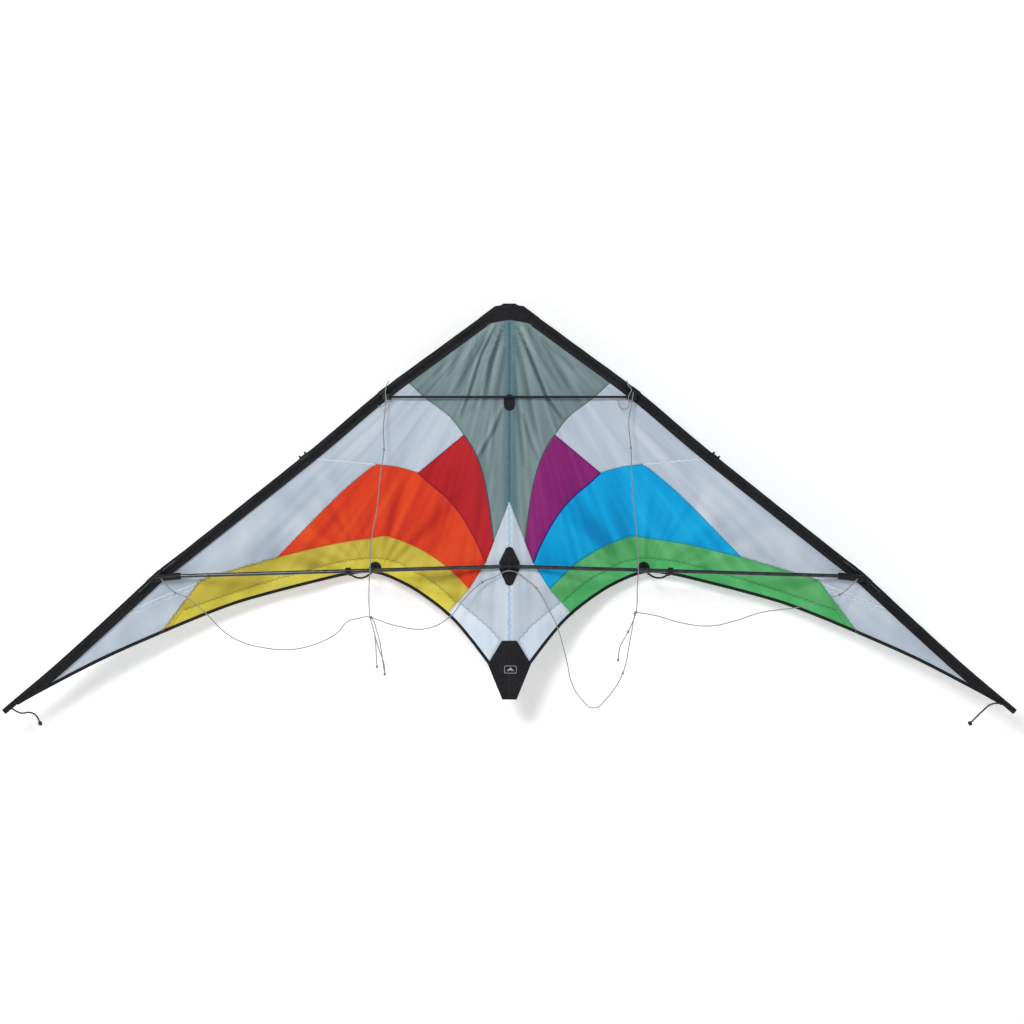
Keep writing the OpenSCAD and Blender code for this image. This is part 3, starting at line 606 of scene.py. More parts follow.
def ripstop(name, colour, shadow, light, band=None, band_width=(7, 9.5)):
    """Coated ripstop nylon: a smooth, faintly glossy cloth, with painted shade in its folds and
    painted highlight on their ridges as streaks in its colour, a faint random mottle, and the
    thicker threads of its grid every 5 mm. The grid is drawn twice as coarse as life so that
    it shows."""
    material, tree, surface = new_material(name, colour, roughness=0.48)
    if tree is None:
        return material
    surface.inputs["Sheen Weight"].default_value = 0.05
    surface.inputs["Specular IOR Level"].default_value = 0.12
    where = add_node(tree, "ShaderNodeTexCoord")
    crease = add_node(tree, "ShaderNodeAttribute", {"attribute_name": "crease"})
    cloud = add_node(tree, "ShaderNodeTexNoise", {"Scale": 9.0, "Detail": 3.0},
                     {"Vector": where.outputs["Object"]})
    mottle = add_node(tree, "ShaderNodeMath", {"operation": "MULTIPLY_ADD", 1: 0.5, 2: -0.25},
                      {0: cloud.outputs["Fac"]})
    both = add_node(tree, "ShaderNodeMath", {"operation": "ADD"},
                    {0: crease.outputs["Fac"], 1: mottle.outputs["Value"]})
    level = add_node(tree, "ShaderNodeMapRange",
                     {"From Min": -0.9, "From Max": 0.9, "To Min": 0.0, "To Max": 1.0},
                     {"Value": both.outputs["Value"]})
    # Painted shade darkens the cloth towards its shadow colour in the folds, and painted highlight
    # lightens it towards its light colour on their ridges
    ramp = add_node(tree, "ShaderNodeValToRGB",
                    {"stops": ((0, shadow), (0.5, colour), (1, light))},
                    {"Fac": level.outputs["Result"]})
    tint = ramp.outputs["Color"]
    if band:
        split = add_node(tree, "ShaderNodeSeparateXYZ", None, {"Vector": where.outputs["Object"]})
        low = add_node(tree, "ShaderNodeMapRange",
                       {"interpolation_type": "SMOOTHSTEP", "From Min": -(band_width[0] + 4) * MM,
                        "From Max": -(band_width[0] - 2) * MM}, {"Value": split.outputs["X"]})
        high = add_node(tree, "ShaderNodeMapRange",
                        {"interpolation_type": "SMOOTHSTEP", "From Min": (band_width[1] - 2) * MM,
                         "From Max": (band_width[1] + 4) * MM, "To Min": 1.0, "To Max": 0.0},
                        {"Value": split.outputs["X"]})
        share = add_node(tree, "ShaderNodeMath", {"operation": "MULTIPLY"},
                         {0: low.outputs["Result"], 1: high.outputs["Result"]})
        part = add_node(tree, "ShaderNodeMath", {"operation": "MULTIPLY", 1: 0.55},
                        {0: share.outputs["Value"]})
        mix = add_node(tree, "ShaderNodeMix", {"data_type": "RGBA", 7: linear(band)},
                       {0: part.outputs["Value"], 6: tint})
        tint = mix.outputs[2]
    tree.links.new(tint, surface.inputs["Base Color"])
    weave_height(tree, surface, where, 0.005, 0.12, 0.25)
    return material


def weave_height(tree, surface, where, spacing, width, strength):
    """Bump from crossing threads, at a real spacing in metres."""
    split = add_node(tree, "ShaderNodeSeparateXYZ", None, {"Vector": where.outputs["Object"]})
    lines = []
    for axis in ("X", "Z"):
        turn = add_node(tree, "ShaderNodeMath", {"operation": "DIVIDE", 1: spacing},
                        {0: split.outputs[axis]})
        part = add_node(tree, "ShaderNodeMath", {"operation": "FRACT"}, {0: turn.outputs["Value"]})
        lines.append(add_node(tree, "ShaderNodeMath", {"operation": "LESS_THAN", 1: width},
                              {0: part.outputs["Value"]}))
    top = add_node(tree, "ShaderNodeMath", {"operation": "MAXIMUM"},
                   {0: lines[0].outputs["Value"], 1: lines[1].outputs["Value"]})
    bump = add_node(tree, "ShaderNodeBump", {"Strength": strength, "Distance": 0.0002},
                    {"Height": top.outputs["Value"]})
    tree.links.new(bump.outputs["Normal"], surface.inputs["Normal"])


def webbing(name, colour, light, spacing=0.0016, roughness=0.72):
    """Woven polyester webbing or coated polyester: near black, with ribs that catch the light."""
    material, tree, surface = new_material(name, colour, roughness=roughness)
    if tree is None:
        return material
    surface.inputs["Sheen Weight"].default_value = 0.04
    surface.inputs["Specular IOR Level"].default_value = 0.22
    where = add_node(tree, "ShaderNodeTexCoord")
    fuzz = add_node(tree, "ShaderNodeTexNoise", {"Scale": 260.0, "Detail": 2.0},
                    {"Vector": where.outputs["Object"]})
    patchy = add_node(tree, "ShaderNodeTexNoise", {"Scale": 22.0, "Detail": 3.0},
                      {"Vector": where.outputs["Object"]})
    both = add_node(tree, "ShaderNodeMath", {"operation": "MULTIPLY"},
                    {0: fuzz.outputs["Fac"], 1: patchy.outputs["Fac"]})
    ramp = add_node(tree, "ShaderNodeValToRGB", {"stops": ((0.12, colour), (0.5, light))},
                    {"Fac": both.outputs["Value"]})
    tree.links.new(ramp.outputs["Color"], surface.inputs["Base Color"])
    weave_height(tree, surface, where, spacing, 0.5, 0.5)
    return material


def plain_stuff(name, colour, light, roughness, scale, strength, metallic=0.0, coat=0.0):
    """A moulded, drawn or twisted stuff: its colour varies a little, and its skin is faintly
    uneven."""
    material, tree, surface = new_material(name, colour, roughness=roughness, metallic=metallic)
    if tree is None:
        return material
    surface.inputs["Coat Weight"].default_value = coat
    surface.inputs["Specular IOR Level"].default_value = 0.25
    surface.inputs["Coat Roughness"].default_value = 0.12
    where = add_node(tree, "ShaderNodeTexCoord")
    grain = add_node(tree, "ShaderNodeTexNoise", {"Scale": scale, "Detail": 4.0},
                     {"Vector": where.outputs["Object"]})
    ramp = add_node(tree, "ShaderNodeValToRGB", {"stops": ((0.35, colour), (0.75, light))},
                    {"Fac": grain.outputs["Fac"]})
    tree.links.new(ramp.outputs["Color"], surface.inputs["Base Color"])
    bump = add_node(tree, "ShaderNodeBump", {"Strength": strength, "Distance": 0.0003},
                    {"Height": grain.outputs["Fac"]})
    tree.links.new(bump.outputs["Normal"], surface.inputs["Normal"])
    return material


# Each cloth's name, its colour, and the colours painted as shade in its folds and as highlight on
# their ridges
CLOTHS = {
    "grey": ("Grey coated ripstop", "#72878A", "#455B5D", "#92A5A7"),
    "white": ("White coated ripstop", "#B8C4D2", "#97A3B4", "#D3DCE6"),
    "keel_white": ("White coated ripstop at the keel", "#C0CBD8", "#A2AEBE", "#D6DFE8"),
    "red": ("Red coated ripstop", "#B21B23", "#8E1219", "#C62A30"),
    "orange": ("Orange coated ripstop", "#D93F20", "#B62018", "#EA5A28"),
    "yellow": ("Yellow coated ripstop", "#C4B344", "#A08E30", "#DACB5A"),
    "purple": ("Purple coated ripstop", "#84206E", "#66165A", "#9A3480"),
    "blue": ("Blue coated ripstop", "#009FDC", "#007FBC", "#1CB6EC"),
    "green": ("Green coated ripstop", "#58AE68", "#3F9052", "#76C486"),
    "double_yellow": ("Yellow ripstop, two layers", "#D3C647", "#B8A83A", "#E0D45E"),
    "double_green": ("Green ripstop, two layers", "#50B56A", "#3F9C56", "#6AC882"),
    "double_white": ("White ripstop, two layers", "#D5E2F0", "#B9C6D6", "#E6EFF8"),
}
# The tape behind the spine shows through the cloth as a band: its colour and its two half widths
BANDS = {"grey": ("#4E7380", (7, 9.5)), "keel_white": ("#D8E4F2", (4, 4))}
# Seam overlaps: two cloths' colours, one over the other, with the light behind them
TINTS = {"Slate": "#5E7274", "Plum": "#5B4A5E", "Red": "#A01C26", "Purple": "#6E2060",
         "Indigo": "#232C8C", "Orange": "#CC4A34", "Blue": "#1C9ACC", "Amber": "#D2702C",
         "Teal": "#1E9AA0", "Straw": "#BDB05A", "Leaf": "#5BA670", "Pale": "#C9D4E0"}
# Twisted polyester threads: a dull colour, and a lighter one where the twist catches the light
THREADS = {"White": ("#D8E4F0", "#F4F8FC"), "Blue": ("#2F6387", "#4A7FA5"),
           "Pale blue": ("#93B9E2", "#B9D3F0"), "Grey": ("#8A96A4", "#A8B2BE"),
           "Olive": ("#7E7230", "#968A44"), "Moss": ("#2F7344", "#468A5A"),
           "Leaf": ("#3FA873", "#58BE8C"), "Black": ("#26262B", "#3A3A42")}


def sailcloth(key):
    """One of the sail's cloths, in its colour setting where it has one."""
    name, colour, shadow, light = CLOTHS[key]
    colour = getattr(bpy.context.scene.kite_colours, key, colour)
    return ripstop(name, colour, shadow, light, *BANDS.get(key, ()))


def overlap_cloth(tint):
    return ripstop(f"{tint} overlap", *[TINTS[tint]] * 3)


def thread(tint):
    return plain_stuff(f"{tint} polyester thread", *THREADS[tint], 0.6, 500.0, 0.3)


# Coated cloth over the leading edges: black, with a soft gloss and a coarse weave
def black_cloth():
    return webbing("Black coated polyester", "#0C0C0F", "#1D1D22", 0.0022, 0.62)


# Narrow-woven webbing: duller, with finer ribs
def black_webbing():
    return webbing("Black polyester webbing", "#121215", "#26262A", 0.0016, 0.78)


# Fibres set in resin: dark grey, with a clear glossy skin
def carbon():
    return plain_stuff("Pultruded carbon tube", "#161B1F", "#343C41", 0.27, 90.0, 0.08, coat=0.5)


# Glass fibres in black resin: darker and less glossy than carbon
def glass_rod():
    return plain_stuff("Pultruded glass rod", "#08080A", "#121315", 0.4, 120.0, 0.08, coat=0.05)


# Bare turned metal: pale, with a fine tool grain
def aluminium():
    return plain_stuff("Turned aluminium", "#A9AEB2", "#C6CACD", 0.35, 300.0, 0.1, metallic=1.0)


# Moulded in a spark-eroded mould: dull black, with a fine pebble
def moulded():
    return plain_stuff("Moulded nylon", "#0E0E10", "#1B1B1E", 0.45, 420.0, 0.15)


# Dipped vinyl: smoother and a little shinier than the nylon
def vinyl():
    return plain_stuff("Black vinyl", "#0C0C0E", "#19191B", 0.38, 300.0, 0.1)


# ---- Settings ----

class KiteClothSettings(bpy.types.PropertyGroup):
    cloth: bpy.props.FloatProperty(
        name="Cloth", description="Thickness the sail cloth is drawn with", default=0.0003,
        unit="LENGTH")
    grid: bpy.props.FloatProperty(
        name="Mesh step", description="Distance between points in the cloth", default=0.0034,
        unit="LENGTH")
    binding: bpy.props.FloatProperty(
        name="Binding", description="Width of the trailing-edge binding", default=0.005,
        unit="LENGTH")


def cloth_colour(key):
    """A colour setting for one of the sail's cloths."""
    name, colour = CLOTHS[key][:2]
    return bpy.props.FloatVectorProperty(
        name=f"{key.title()} cloth", description=f"Colour of the {name[0].lower()}{name[1:]}",
        default=linear(colour)[:3], min=0, max=1, size=3, subtype="COLOR")


class KiteColourSettings(bpy.types.PropertyGroup):
    grey: cloth_colour("grey")
    white: cloth_colour("white")
    red: cloth_colour("red")
    orange: cloth_colour("orange")
    yellow: cloth_colour("yellow")
    purple: cloth_colour("purple")
    blue: cloth_colour("blue")
    green: cloth_colour("green")


class KiteLineSettings(bpy.types.PropertyGroup):
    bridle: bpy.props.FloatProperty(
        name="Bridle line", description="Diameter of the bridle line", default=0.0015,
        unit="LENGTH")
    tip: bpy.props.FloatProperty(
        name="Tip cord", description="Diameter of the cords at the wing tips", default=0.0025,
        unit="LENGTH")


class KiteStageSettings(bpy.types.PropertyGroup):
    distance: bpy.props.FloatProperty(
        name="Camera distance", description="From the camera to the sail's plane", default=3.7,
        unit="LENGTH")
    wall: bpy.props.FloatProperty(
        name="Wall", description="From the sail's plane back to the wall", default=0.1,
        unit="LENGTH")


# ---- Operators ----

class KiteStage(bpy.types.Operator):
    """Camera, wall, floor and soft light"""
    bl_idname = "kite.stage"
    bl_label = "Stage"

    def execute(self, context):
        settings = context.scene.kite_stage
        calm_selection()
        camera = bpy.data.cameras.new("Camera")
        camera.lens = 85
        camera.sensor_width = 36
        eye = bpy.data.objects.new("Camera", camera)
        eye.location = (0.004, -settings.distance, -0.319)
        eye.rotation_euler = (math.pi / 2, 0, 0)
        context.scene.collection.objects.link(eye)
        context.scene.camera = eye
        backdrop, tree, surface = new_material("Matt white wall", "#FFFFFF", roughness=0.9)
        surface.inputs["Emission Color"].default_value = (1, 1, 1, 1)
        surface.inputs["Emission Strength"].default_value = 0.17
        facing = add_node(tree, "ShaderNodeNewGeometry")
        clear = add_node(tree, "ShaderNodeBsdfTransparent")
        mix = add_node(tree, "ShaderNodeMixShader", None,
                       {0: facing.outputs["Backfacing"], 1: surface.outputs["BSDF"],
                        2: clear.outputs["BSDF"]})
        tree.links.new(mix.outputs["Shader"], tree.nodes["Material Output"].inputs["Surface"])
        back, ground, top = settings.wall / MM, -1150, 2200
        wall = mesh_piece("wall", [(-2600, back, ground), (2600, back, ground), (2600, back, top),
                                   (-2600, back, top)], [[0, 1, 2, 3]], backdrop)
        paint = new_material("Pale painted floor", "#F2F2F0", roughness=0.8)[0]
        floor = mesh_piece("floor", [(-3000, -3000, ground), (3000, -3000, ground),
                                     (3000, 3000, ground), (-3000, 3000, ground)],
                           [[0, 1, 2, 3]], paint)
        for name, place, size, power, aim in (
                ("Key", (-0.9, -3.0, 0.75), 0.75, 57, (0, 0, -0.35)),
                ("Fill", (1.9, -2.8, 0.2), 2.2, 8, (0, 0, -0.3)),
                ("Back", (0.8, 2.6, 1.4), 2.0, 40, (0, 0, -0.3))):
            lamp = bpy.data.lights.new(name, "AREA")
            lamp.size, lamp.energy = size, power
            light = bpy.data.objects.new(name, lamp)
            light.location = place
            way = Vector(aim) - Vector(place)
            light.rotation_euler = way.to_track_quat("-Z", "Y").to_euler()
            context.scene.collection.objects.link(light)
        # White stays white, and the cloths keep their colours
        context.scene.view_settings.view_transform = "Standard"
        world = bpy.data.worlds.new("Studio")
        world.use_nodes = True
        world.node_tree.nodes["Background"].inputs["Color"].default_value = (1, 1, 1, 1)
        world.node_tree.nodes["Background"].inputs["Strength"].default_value = 0.33
        context.scene.world = world
        return {"FINISHED"}


def line_piece(name, route, diameter, material):
    """A line of round cord on one smooth curve."""
    curve = bpy.data.curves.new(name, "CURVE")
    curve.dimensions = "3D"
    curve.resolution_u = 8
    curve.bevel_depth = diameter / 2
    curve.bevel_resolution = 3
    curve.use_fill_caps = True
    spline = curve.splines.new("BEZIER")
    spline.bezier_points.add(len(route) - 1)
    for point, place in zip(spline.bezier_points, route):
        point.co = place
        point.handle_left_type = point.handle_right_type = "AUTO"
    curve.materials.append(material)
    piece = bpy.data.objects.new(name, curve)
    bpy.context.scene.collection.objects.link(piece)
    return piece


def knot_piece(name, place, diameter, material, turn=0.0):
    """An overhand knot: three turns of the line drawn tight over each other."""
    loops = []
    for k, (tilt, size) in enumerate(((0.5, 1.05), (-0.6, 0.95), (1.5, 0.9))):
        calm_selection()
        bpy.ops.mesh.primitive_torus_add(
            location=place, rotation=(tilt, turn + 0.9 * k, 0.4 * k), major_segments=14,
            minor_segments=8, major_radius=diameter * size, minor_radius=diameter * 0.52)
        loops.append(bpy.context.object)
    calm_selection()
    for loop in loops:
        loop.select_set(True)
    bpy.context.view_layer.objects.active = loops[0]
    bpy.ops.object.join()
    piece = bpy.context.object
    piece.name = name
    bpy.ops.object.transform_apply(location=True, rotation=True, scale=True)
    bpy.ops.object.shade_smooth()
    piece.data.materials.append(material)
    return piece


class KiteCords(bpy.types.Operator):
    """Bridle legs, their knots and the cords at the wing tips"""
    bl_idname = "kite.cords"
    bl_label = "Cords"

    def execute(self, context):
        settings = context.scene.kite_lines
        # Braided polyester line: dull, pale grey, with the braid showing as a fine unevenness
        braid = plain_stuff("Braided polyester line", "#7A7F85", "#A0A3A4", 0.75, 900.0, 0.6)
        dark = plain_stuff("Braided dark green cord", "#152622", "#2C463F", 0.7, 700.0, 0.6)
        for routes, diameter, material, slot in (
                (LINES, settings.bridle, braid, "bridle_line"),
                (TIP_LINES, settings.tip, dark, "tip_line")):
            for name, route in routes.items():
                side = -1 if name.endswith("left") else 1
                places = KNOTS.get(name, (len(route) - 1,))
                piece = line_piece(name + "_line", route, diameter, material)
                for i in places:
                    knot = knot_piece(f"{name}_knot_{i}", route[i], diameter, material, turn=i)
                    place_on(knot, wing_of(side))
                place_on(piece, wing_of(side), [name])
        for name, (body, route) in LINE_ENDS.items():
            only(line_piece(name, route, settings.bridle, braid))
            bpy.ops.object.convert(target="MESH")
            place_on(bpy.context.object, body)
        return {"FINISHED"}


def crossing(seam):
    """A seam whose last stretch is cut where it runs under the sleeve."""
    a, b = seam[-2], seam[-1]
    for k in range(1, 101):
        t = k / 100
        x, z = a[0] + (b[0] - a[0]) * t, a[1] + (b[1] - a[1]) * t
        if z >= look(x, TUCK_LINE):
            return seam[:-1] + [(x, look(x, TUCK_LINE))]
    return seam


def sail_lines():
    """The seams as smooth lines that meet the sleeve."""
    lines = {key: smooth_line(points) for key, points in SEAMS.items()}
    lines["upper_cross"] = crossing(SEAMS["upper_cross"])
    lines["lower_cross"] = crossing(SEAMS["lower_cross"])
    top = crossing(SEAMS["grey_white"][1::-1])[-1]
    lines["grey_white"] = smooth_line([top] + SEAMS["grey_white"][1:])
    return lines


def tucked(xa, xb):
    """The run of the sail's edge under the sleeve between two places."""
    n = max(2, int(abs(xb - xa) / 9))
    places = [xa + (xb - xa) * k / n for k in range(1, n)]
    return [(x, look(x, TUCK_LINE)) for x in places]


def sail_outlines():
    """Each panel's flat outline, as the seams, the sleeve and the trailing edge bound it."""
    s = sail_lines()
    back = {key: line[::-1] for key, line in s.items()}
    x_top, x_upper = s["grey_white"][0][0], s["upper_cross"][-1][0]
    x_lower, x_corner = s["lower_cross"][-1][0], s["tip_outer"][-1][0]
    loops = {
        "grey": [(0, -9)] + tucked(12, x_top) + s["grey_white"] + s["grey_colour"] + [APEX],
        "upper_white": tucked(x_top, x_upper) + back["upper_cross"] + back["white_middle"]
        + back["white_inner"] + back["grey_white"],
        "middle_white": tucked(x_upper, x_lower) + back["lower_cross"] + back["white_outer"]
        + back["tip_middle"] + s["upper_cross"],
        "tip_white": tucked(x_lower, 733) + te_between(x_corner - 0.01, TE_LINE[-1][0])
        + back["tip_outer"] + s["lower_cross"],
        "inner": s["white_inner"] + s["inner_middle"] + back["inner_centre"] + back["grey_colour"],
        "middle": s["white_middle"] + s["tip_middle"] + s["middle_outer"] + back["middle_centre"]
        + back["inner_middle"],
        "outer": s["white_outer"] + s["tip_outer"] + te_between(99, x_corner)
        + back["outer_centre"] + back["middle_outer"],
        "centre": [APEX] + s["grey_colour"][-1:] + s["inner_centre"] + s["middle_centre"]
        + s["outer_centre"] + te_between(0, CENTRE_REACH) + [(20, -566), (0, -566)],
    }
    return {key: [p for i, p in enumerate(loop) if math.dist(p, loop[i - 1]) > 0.02]
            for key, loop in loops.items()}


# Each panel's cloth: the same on both sides, or the left's and the right's
PANELS = {"grey": "grey", "upper_white": "white", "middle_white": "white", "tip_white": "white",
          "centre": "keel_white", "inner": ("red", "purple"), "middle": ("orange", "blue"),
          "outer": ("yellow", "green")}


class KitePanels(bpy.types.Operator):
    """The sixteen panels of the sail, stretched over the frame"""
    bl_idname = "kite.panels"
    bl_label = "Sail panels"

    def execute(self, context):
        settings = context.scene.kite_cloth
        step, thick = settings.grid / MM, settings.cloth / MM
        for key, outline in sail_outlines().items():
            flat = filled(outline, step * 0.75 if key == "grey" else step)
            for word, side in SIDES:
                cloth = PANELS[key]
                both = isinstance(cloth, str)
                cloth = cloth if both else cloth[side > 0]
                node = f"{key if both else cloth}_panel_{word}"
                piece = mirrored_sheet(node + "_cloth", flat, side, 0, thick, sailcloth(cloth))
                near_keel = key in ("grey", "centre")
                place_on(piece, (wing_of(side), side) if near_keel else wing_of(side),
                         [node])
        return {"FINISHED"}


# Each seam's overlap, left and right, and its width in mm
OVERLAPS = {
    "grey_white": ("Slate", "Slate", 1.3), "grey_colour": ("Plum", "Plum", 2.0),
    "white_inner": ("Red", "Purple", 1.2), "inner_middle": ("Red", "Indigo", 2.4),
    "white_middle": ("Orange", "Blue", 1.2), "tip_middle": ("Orange", "Blue", 1.2),
    "middle_outer": ("Amber", "Teal", 1.4), "white_outer": ("Straw", "Leaf", 1.2),
    "tip_outer": ("Straw", "Leaf", 1.4), "outer_centre": ("Straw", "Leaf", 1.2),
    "middle_centre": ("Orange", "Blue", 1.2), "inner_centre": ("Red", "Purple", 1.2),
    "upper_cross": ("Pale", "Pale", 3.2), "lower_cross": ("Pale", "Pale", 3.2),
}


class KiteSeams(bpy.types.Operator):
    """Overlaps, doubled cloth and stitching on the sail"""
    bl_idname = "kite.seams"
    bl_label = "Seams"

    def execute(self, context):
        s = sail_lines()
        stitch_lift = 0.6
        for word, side in SIDES:
            wing, keel = wing_of(side), (wing_of(side), side)
            for key, (left, right, width) in OVERLAPS.items():
                piece = strip_on_cloth(f"{key}_seam_{word}", s[key], side, width, 0.22, 0.25,
                                       overlap_cloth(left if side < 0 else right))
                place_on(piece, keel if key in ("grey_colour", "inner_centre") else wing)
            hem = smooth_line(DOUBLED)
            corner = [KEEL_CORNER]
            keel_loop = KEEL_HEM + [(33, -550)] + te_between(0, CENTRE_REACH)[::-1] + corner
            for name, outline, cloth, body in (
                    ("doubled_edge", hem + corner + te_between(99, 535)[::-1],
                     "double_yellow" if side < 0 else "double_green", wing),
                    ("doubled_keel", keel_loop, "double_white", keel)):
                piece = mirrored_sheet(f"{name}_{word}", filled(outline, 4.5), side, 0.3, 0.2,
                                       sailcloth(cloth))
                place_on(piece, body)
            low = [(x, z - 7) for x, z in s["lower_cross"][1:]]
            for name, lines, thick, tint, pitch, swing, body in (
                    ("cross", (s["upper_cross"], s["lower_cross"], low), 0.36, "White", 6, 1.6,
                     wing),
                    ("hem", (hem,), 0.24, "Olive" if side < 0 else "Moss", 4.5, 1.6, wing),
                    ("corner", (s["tip_outer"], s["white_outer"]), 0.24,
                     "Olive" if side < 0 else "Leaf", 4.5, 1.5, wing),
                    ("keel", (KEEL_HEM,), 0.3, "Grey", 4.5, 1.7, keel)):
                piece = stitches(f"{name}_stitches_{word}",
                                 [(line, side, stitch_lift) for line in lines],
                                 thick, thread(tint), pitch, swing)
                place_on(piece, body)
        for name, top, bottom, tint, pitch, swing in (
                ("top", -27, -138, "Blue", 3.6, 2.2), ("upper", -165, -302, "Blue", 3.6, 2.2),
                ("middle", -304, -371, "Pale blue", 5.5, 2.8),
                ("lower", -433, -515, "Pale blue", 5.5, 2.8)):
            piece = stitches(f"spine_stitches_{name}", [([(0, top), (0, bottom)], 1, 0.7)], 0.4,
                             thread(tint), pitch, swing)
            place_on(piece, "frame")
        return {"FINISHED"}


def sleeve_profile():
    """The folded cloth's cross-section: (inward, y) from the front hem round to the back hem."""
    reach = SLEEVE_W - ROD_INSET
    start = math.asin(HEM_GAP / POCKET_R)
    around = [start + (2 * math.pi - 2 * start) * k / 20 for k in range(21)]
    arc = [(POCKET_R * math.cos(a), POCKET_R * math.sin(a)) for a in around]
    fair = [(reach - 1.2 * k, HEM_GAP * (1 - 0.1 * k)) for k in range(4)]
    return fair + arc + [(u, -y) for u, y in fair[::-1]]


def opened(ends, windows):
    """Whether a stretch of the sleeve lies in one of the openings."""
    return all(any(math.dist(end, (centre, look(centre, ROD_LINE))) < half
                   for centre, half in windows) for end in ends)


class KiteEdges(bpy.types.Operator):
    """Leading-edge sleeves and trailing-edge bindings"""
    bl_idname = "kite.edges"
    bl_label = "Sleeves and bindings"

    def execute(self, context):
        binding = context.scene.kite_cloth.binding / MM
        cloth = black_cloth()
        dark_thread = thread("Black")
        profile = sleeve_profile()
        start = (SLEEVE_START, look(SLEEVE_START, ROD_LINE))
        line = even([start] + [p for p in smooth_line(ROD_LINE, 4) if p[0] > start[0] + 5], 3)
        n = len(profile)
        for word, side in SIDES:
            points, faces = [], []
            for i, (x, z) in enumerate(line):
                slack = 0.25 * noise.noise(Vector((x * 0.05, side, 2.0)))
                narrow = 1 - 0.8 * max(0, min(1, (x - TAPER_FROM) / TAPER_RUN))
                for u, y in profile:
                    hem = max(0, u - POCKET_R)
                    u = u + slack if u < 0 else u - hem + hem * narrow
                    px, pz = beside(line, i, u)
                    points.append((px * side, y, pz))
            for i in range(len(line) - 1):
                gone = opened(line[i:i + 2], OPEN_ALL_ROUND)
                front = opened(line[i:i + 2], OPEN_IN_FRONT)
                for k in range(n - 1):
                    u, y = (sum(c) / 2 for c in zip(profile[k], profile[k + 1]))
                    if gone and u < 6.5 or front and y < -1.6 and abs(u) < 3.3:
                        continue
                    a = i * n + k
                    faces.append([a, a + 1, a + n + 1, a + n])
            piece = mesh_piece(f"sleeve_{word}", points, faces, cloth)
            edit_all(piece, bpy.ops.mesh.delete_loose)
            apply_modifier(piece, "SOLIDIFY", thickness=0.45 * MM, offset=0)
            face_front(piece)
            place_on(piece, wing_of(side), [f"leading_edge_sleeve_{word}"])
            rings = []
            edge_line = even(TE_LINE, 4)
            for i in range(len(edge_line)):
                ring = []
                for along, out in BINDING_RING:
                    x, z = beside(edge_line, i, -along * binding / BINDING_DEPTH)
                    ring.append((x * side, cloth_y(x, z, side) - out * 0.8, z))
                rings.append(ring)
            piece = face_front(lofted(f"binding_{word}", rings, cloth))
            place_on(piece, wing_of(side), [f"trailing_edge_binding_{word}"])
            hem = [p for p in even(inset(SLEEVE_W - 2.5), 6) if 30 < p[0] < 708]
            for name, path, lift, swing in (("binding", inset(-2.4, edge_line), 0.85, 0.7),
                                            ("sleeve", hem, 1.25, 0.6)):
                piece = stitches(f"{name}_stitches_{word}", [(path, side, lift)], 0.18,
                                 dark_thread, 4, swing)
                place_on(piece, wing_of(side))
        return {"FINISHED"}


def flat_patch(name, outline, side, front, back, material, step=3.0):
    """A closed piece of webbing between a front and a back surface, given as functions of x, z."""
    points, faces = filled(outline, step)
    n = len(points)
    placed = [(x * side, front(x, z), z) for x, z in points]
    placed += [(x * side, back(x, z), z) for x, z in points]
    ordered, edges = [], []
    for f in faces:
        f = facing_front(f, points, side)
        ordered += [f, [i + n for i in f[::-1]]]
        edges += zip(f, f[1:] + f[:1])
    shared = set(edges)
    ordered += [[b, a, a + n, b + n] for a, b in edges if (b, a) not in shared]
    return mesh_piece(name, placed, ordered, material, smooth=False)


def soft_box(name, place, size, round_by, material):
    """A small block of cloth with rounded edges."""
    calm_selection()
    bpy.ops.mesh.primitive_cube_add(size=1, location=place)
    piece = bpy.context.object
    piece.name = name
    piece.scale = size
    bpy.ops.object.transform_apply(location=True, rotation=True, scale=True)
    apply_modifier(piece, "BEVEL", width=round_by, segments=2)
    piece.data.materials.append(material)
    return piece


def label_rim(half_w, half_h, corner):
    """A rounded frame's middle line, from its own centre."""
    rim = []
    for quarter, (cx, cz) in enumerate(((1, 1), (-1, 1), (-1, -1), (1, -1))):
        for k in range(7):
            a = math.radians(90 * quarter + 15 * k)
            rim.append((cx * (half_w - corner) + corner * math.cos(a),
                        cz * (half_h - corner) + corner * math.sin(a)))
    return rim


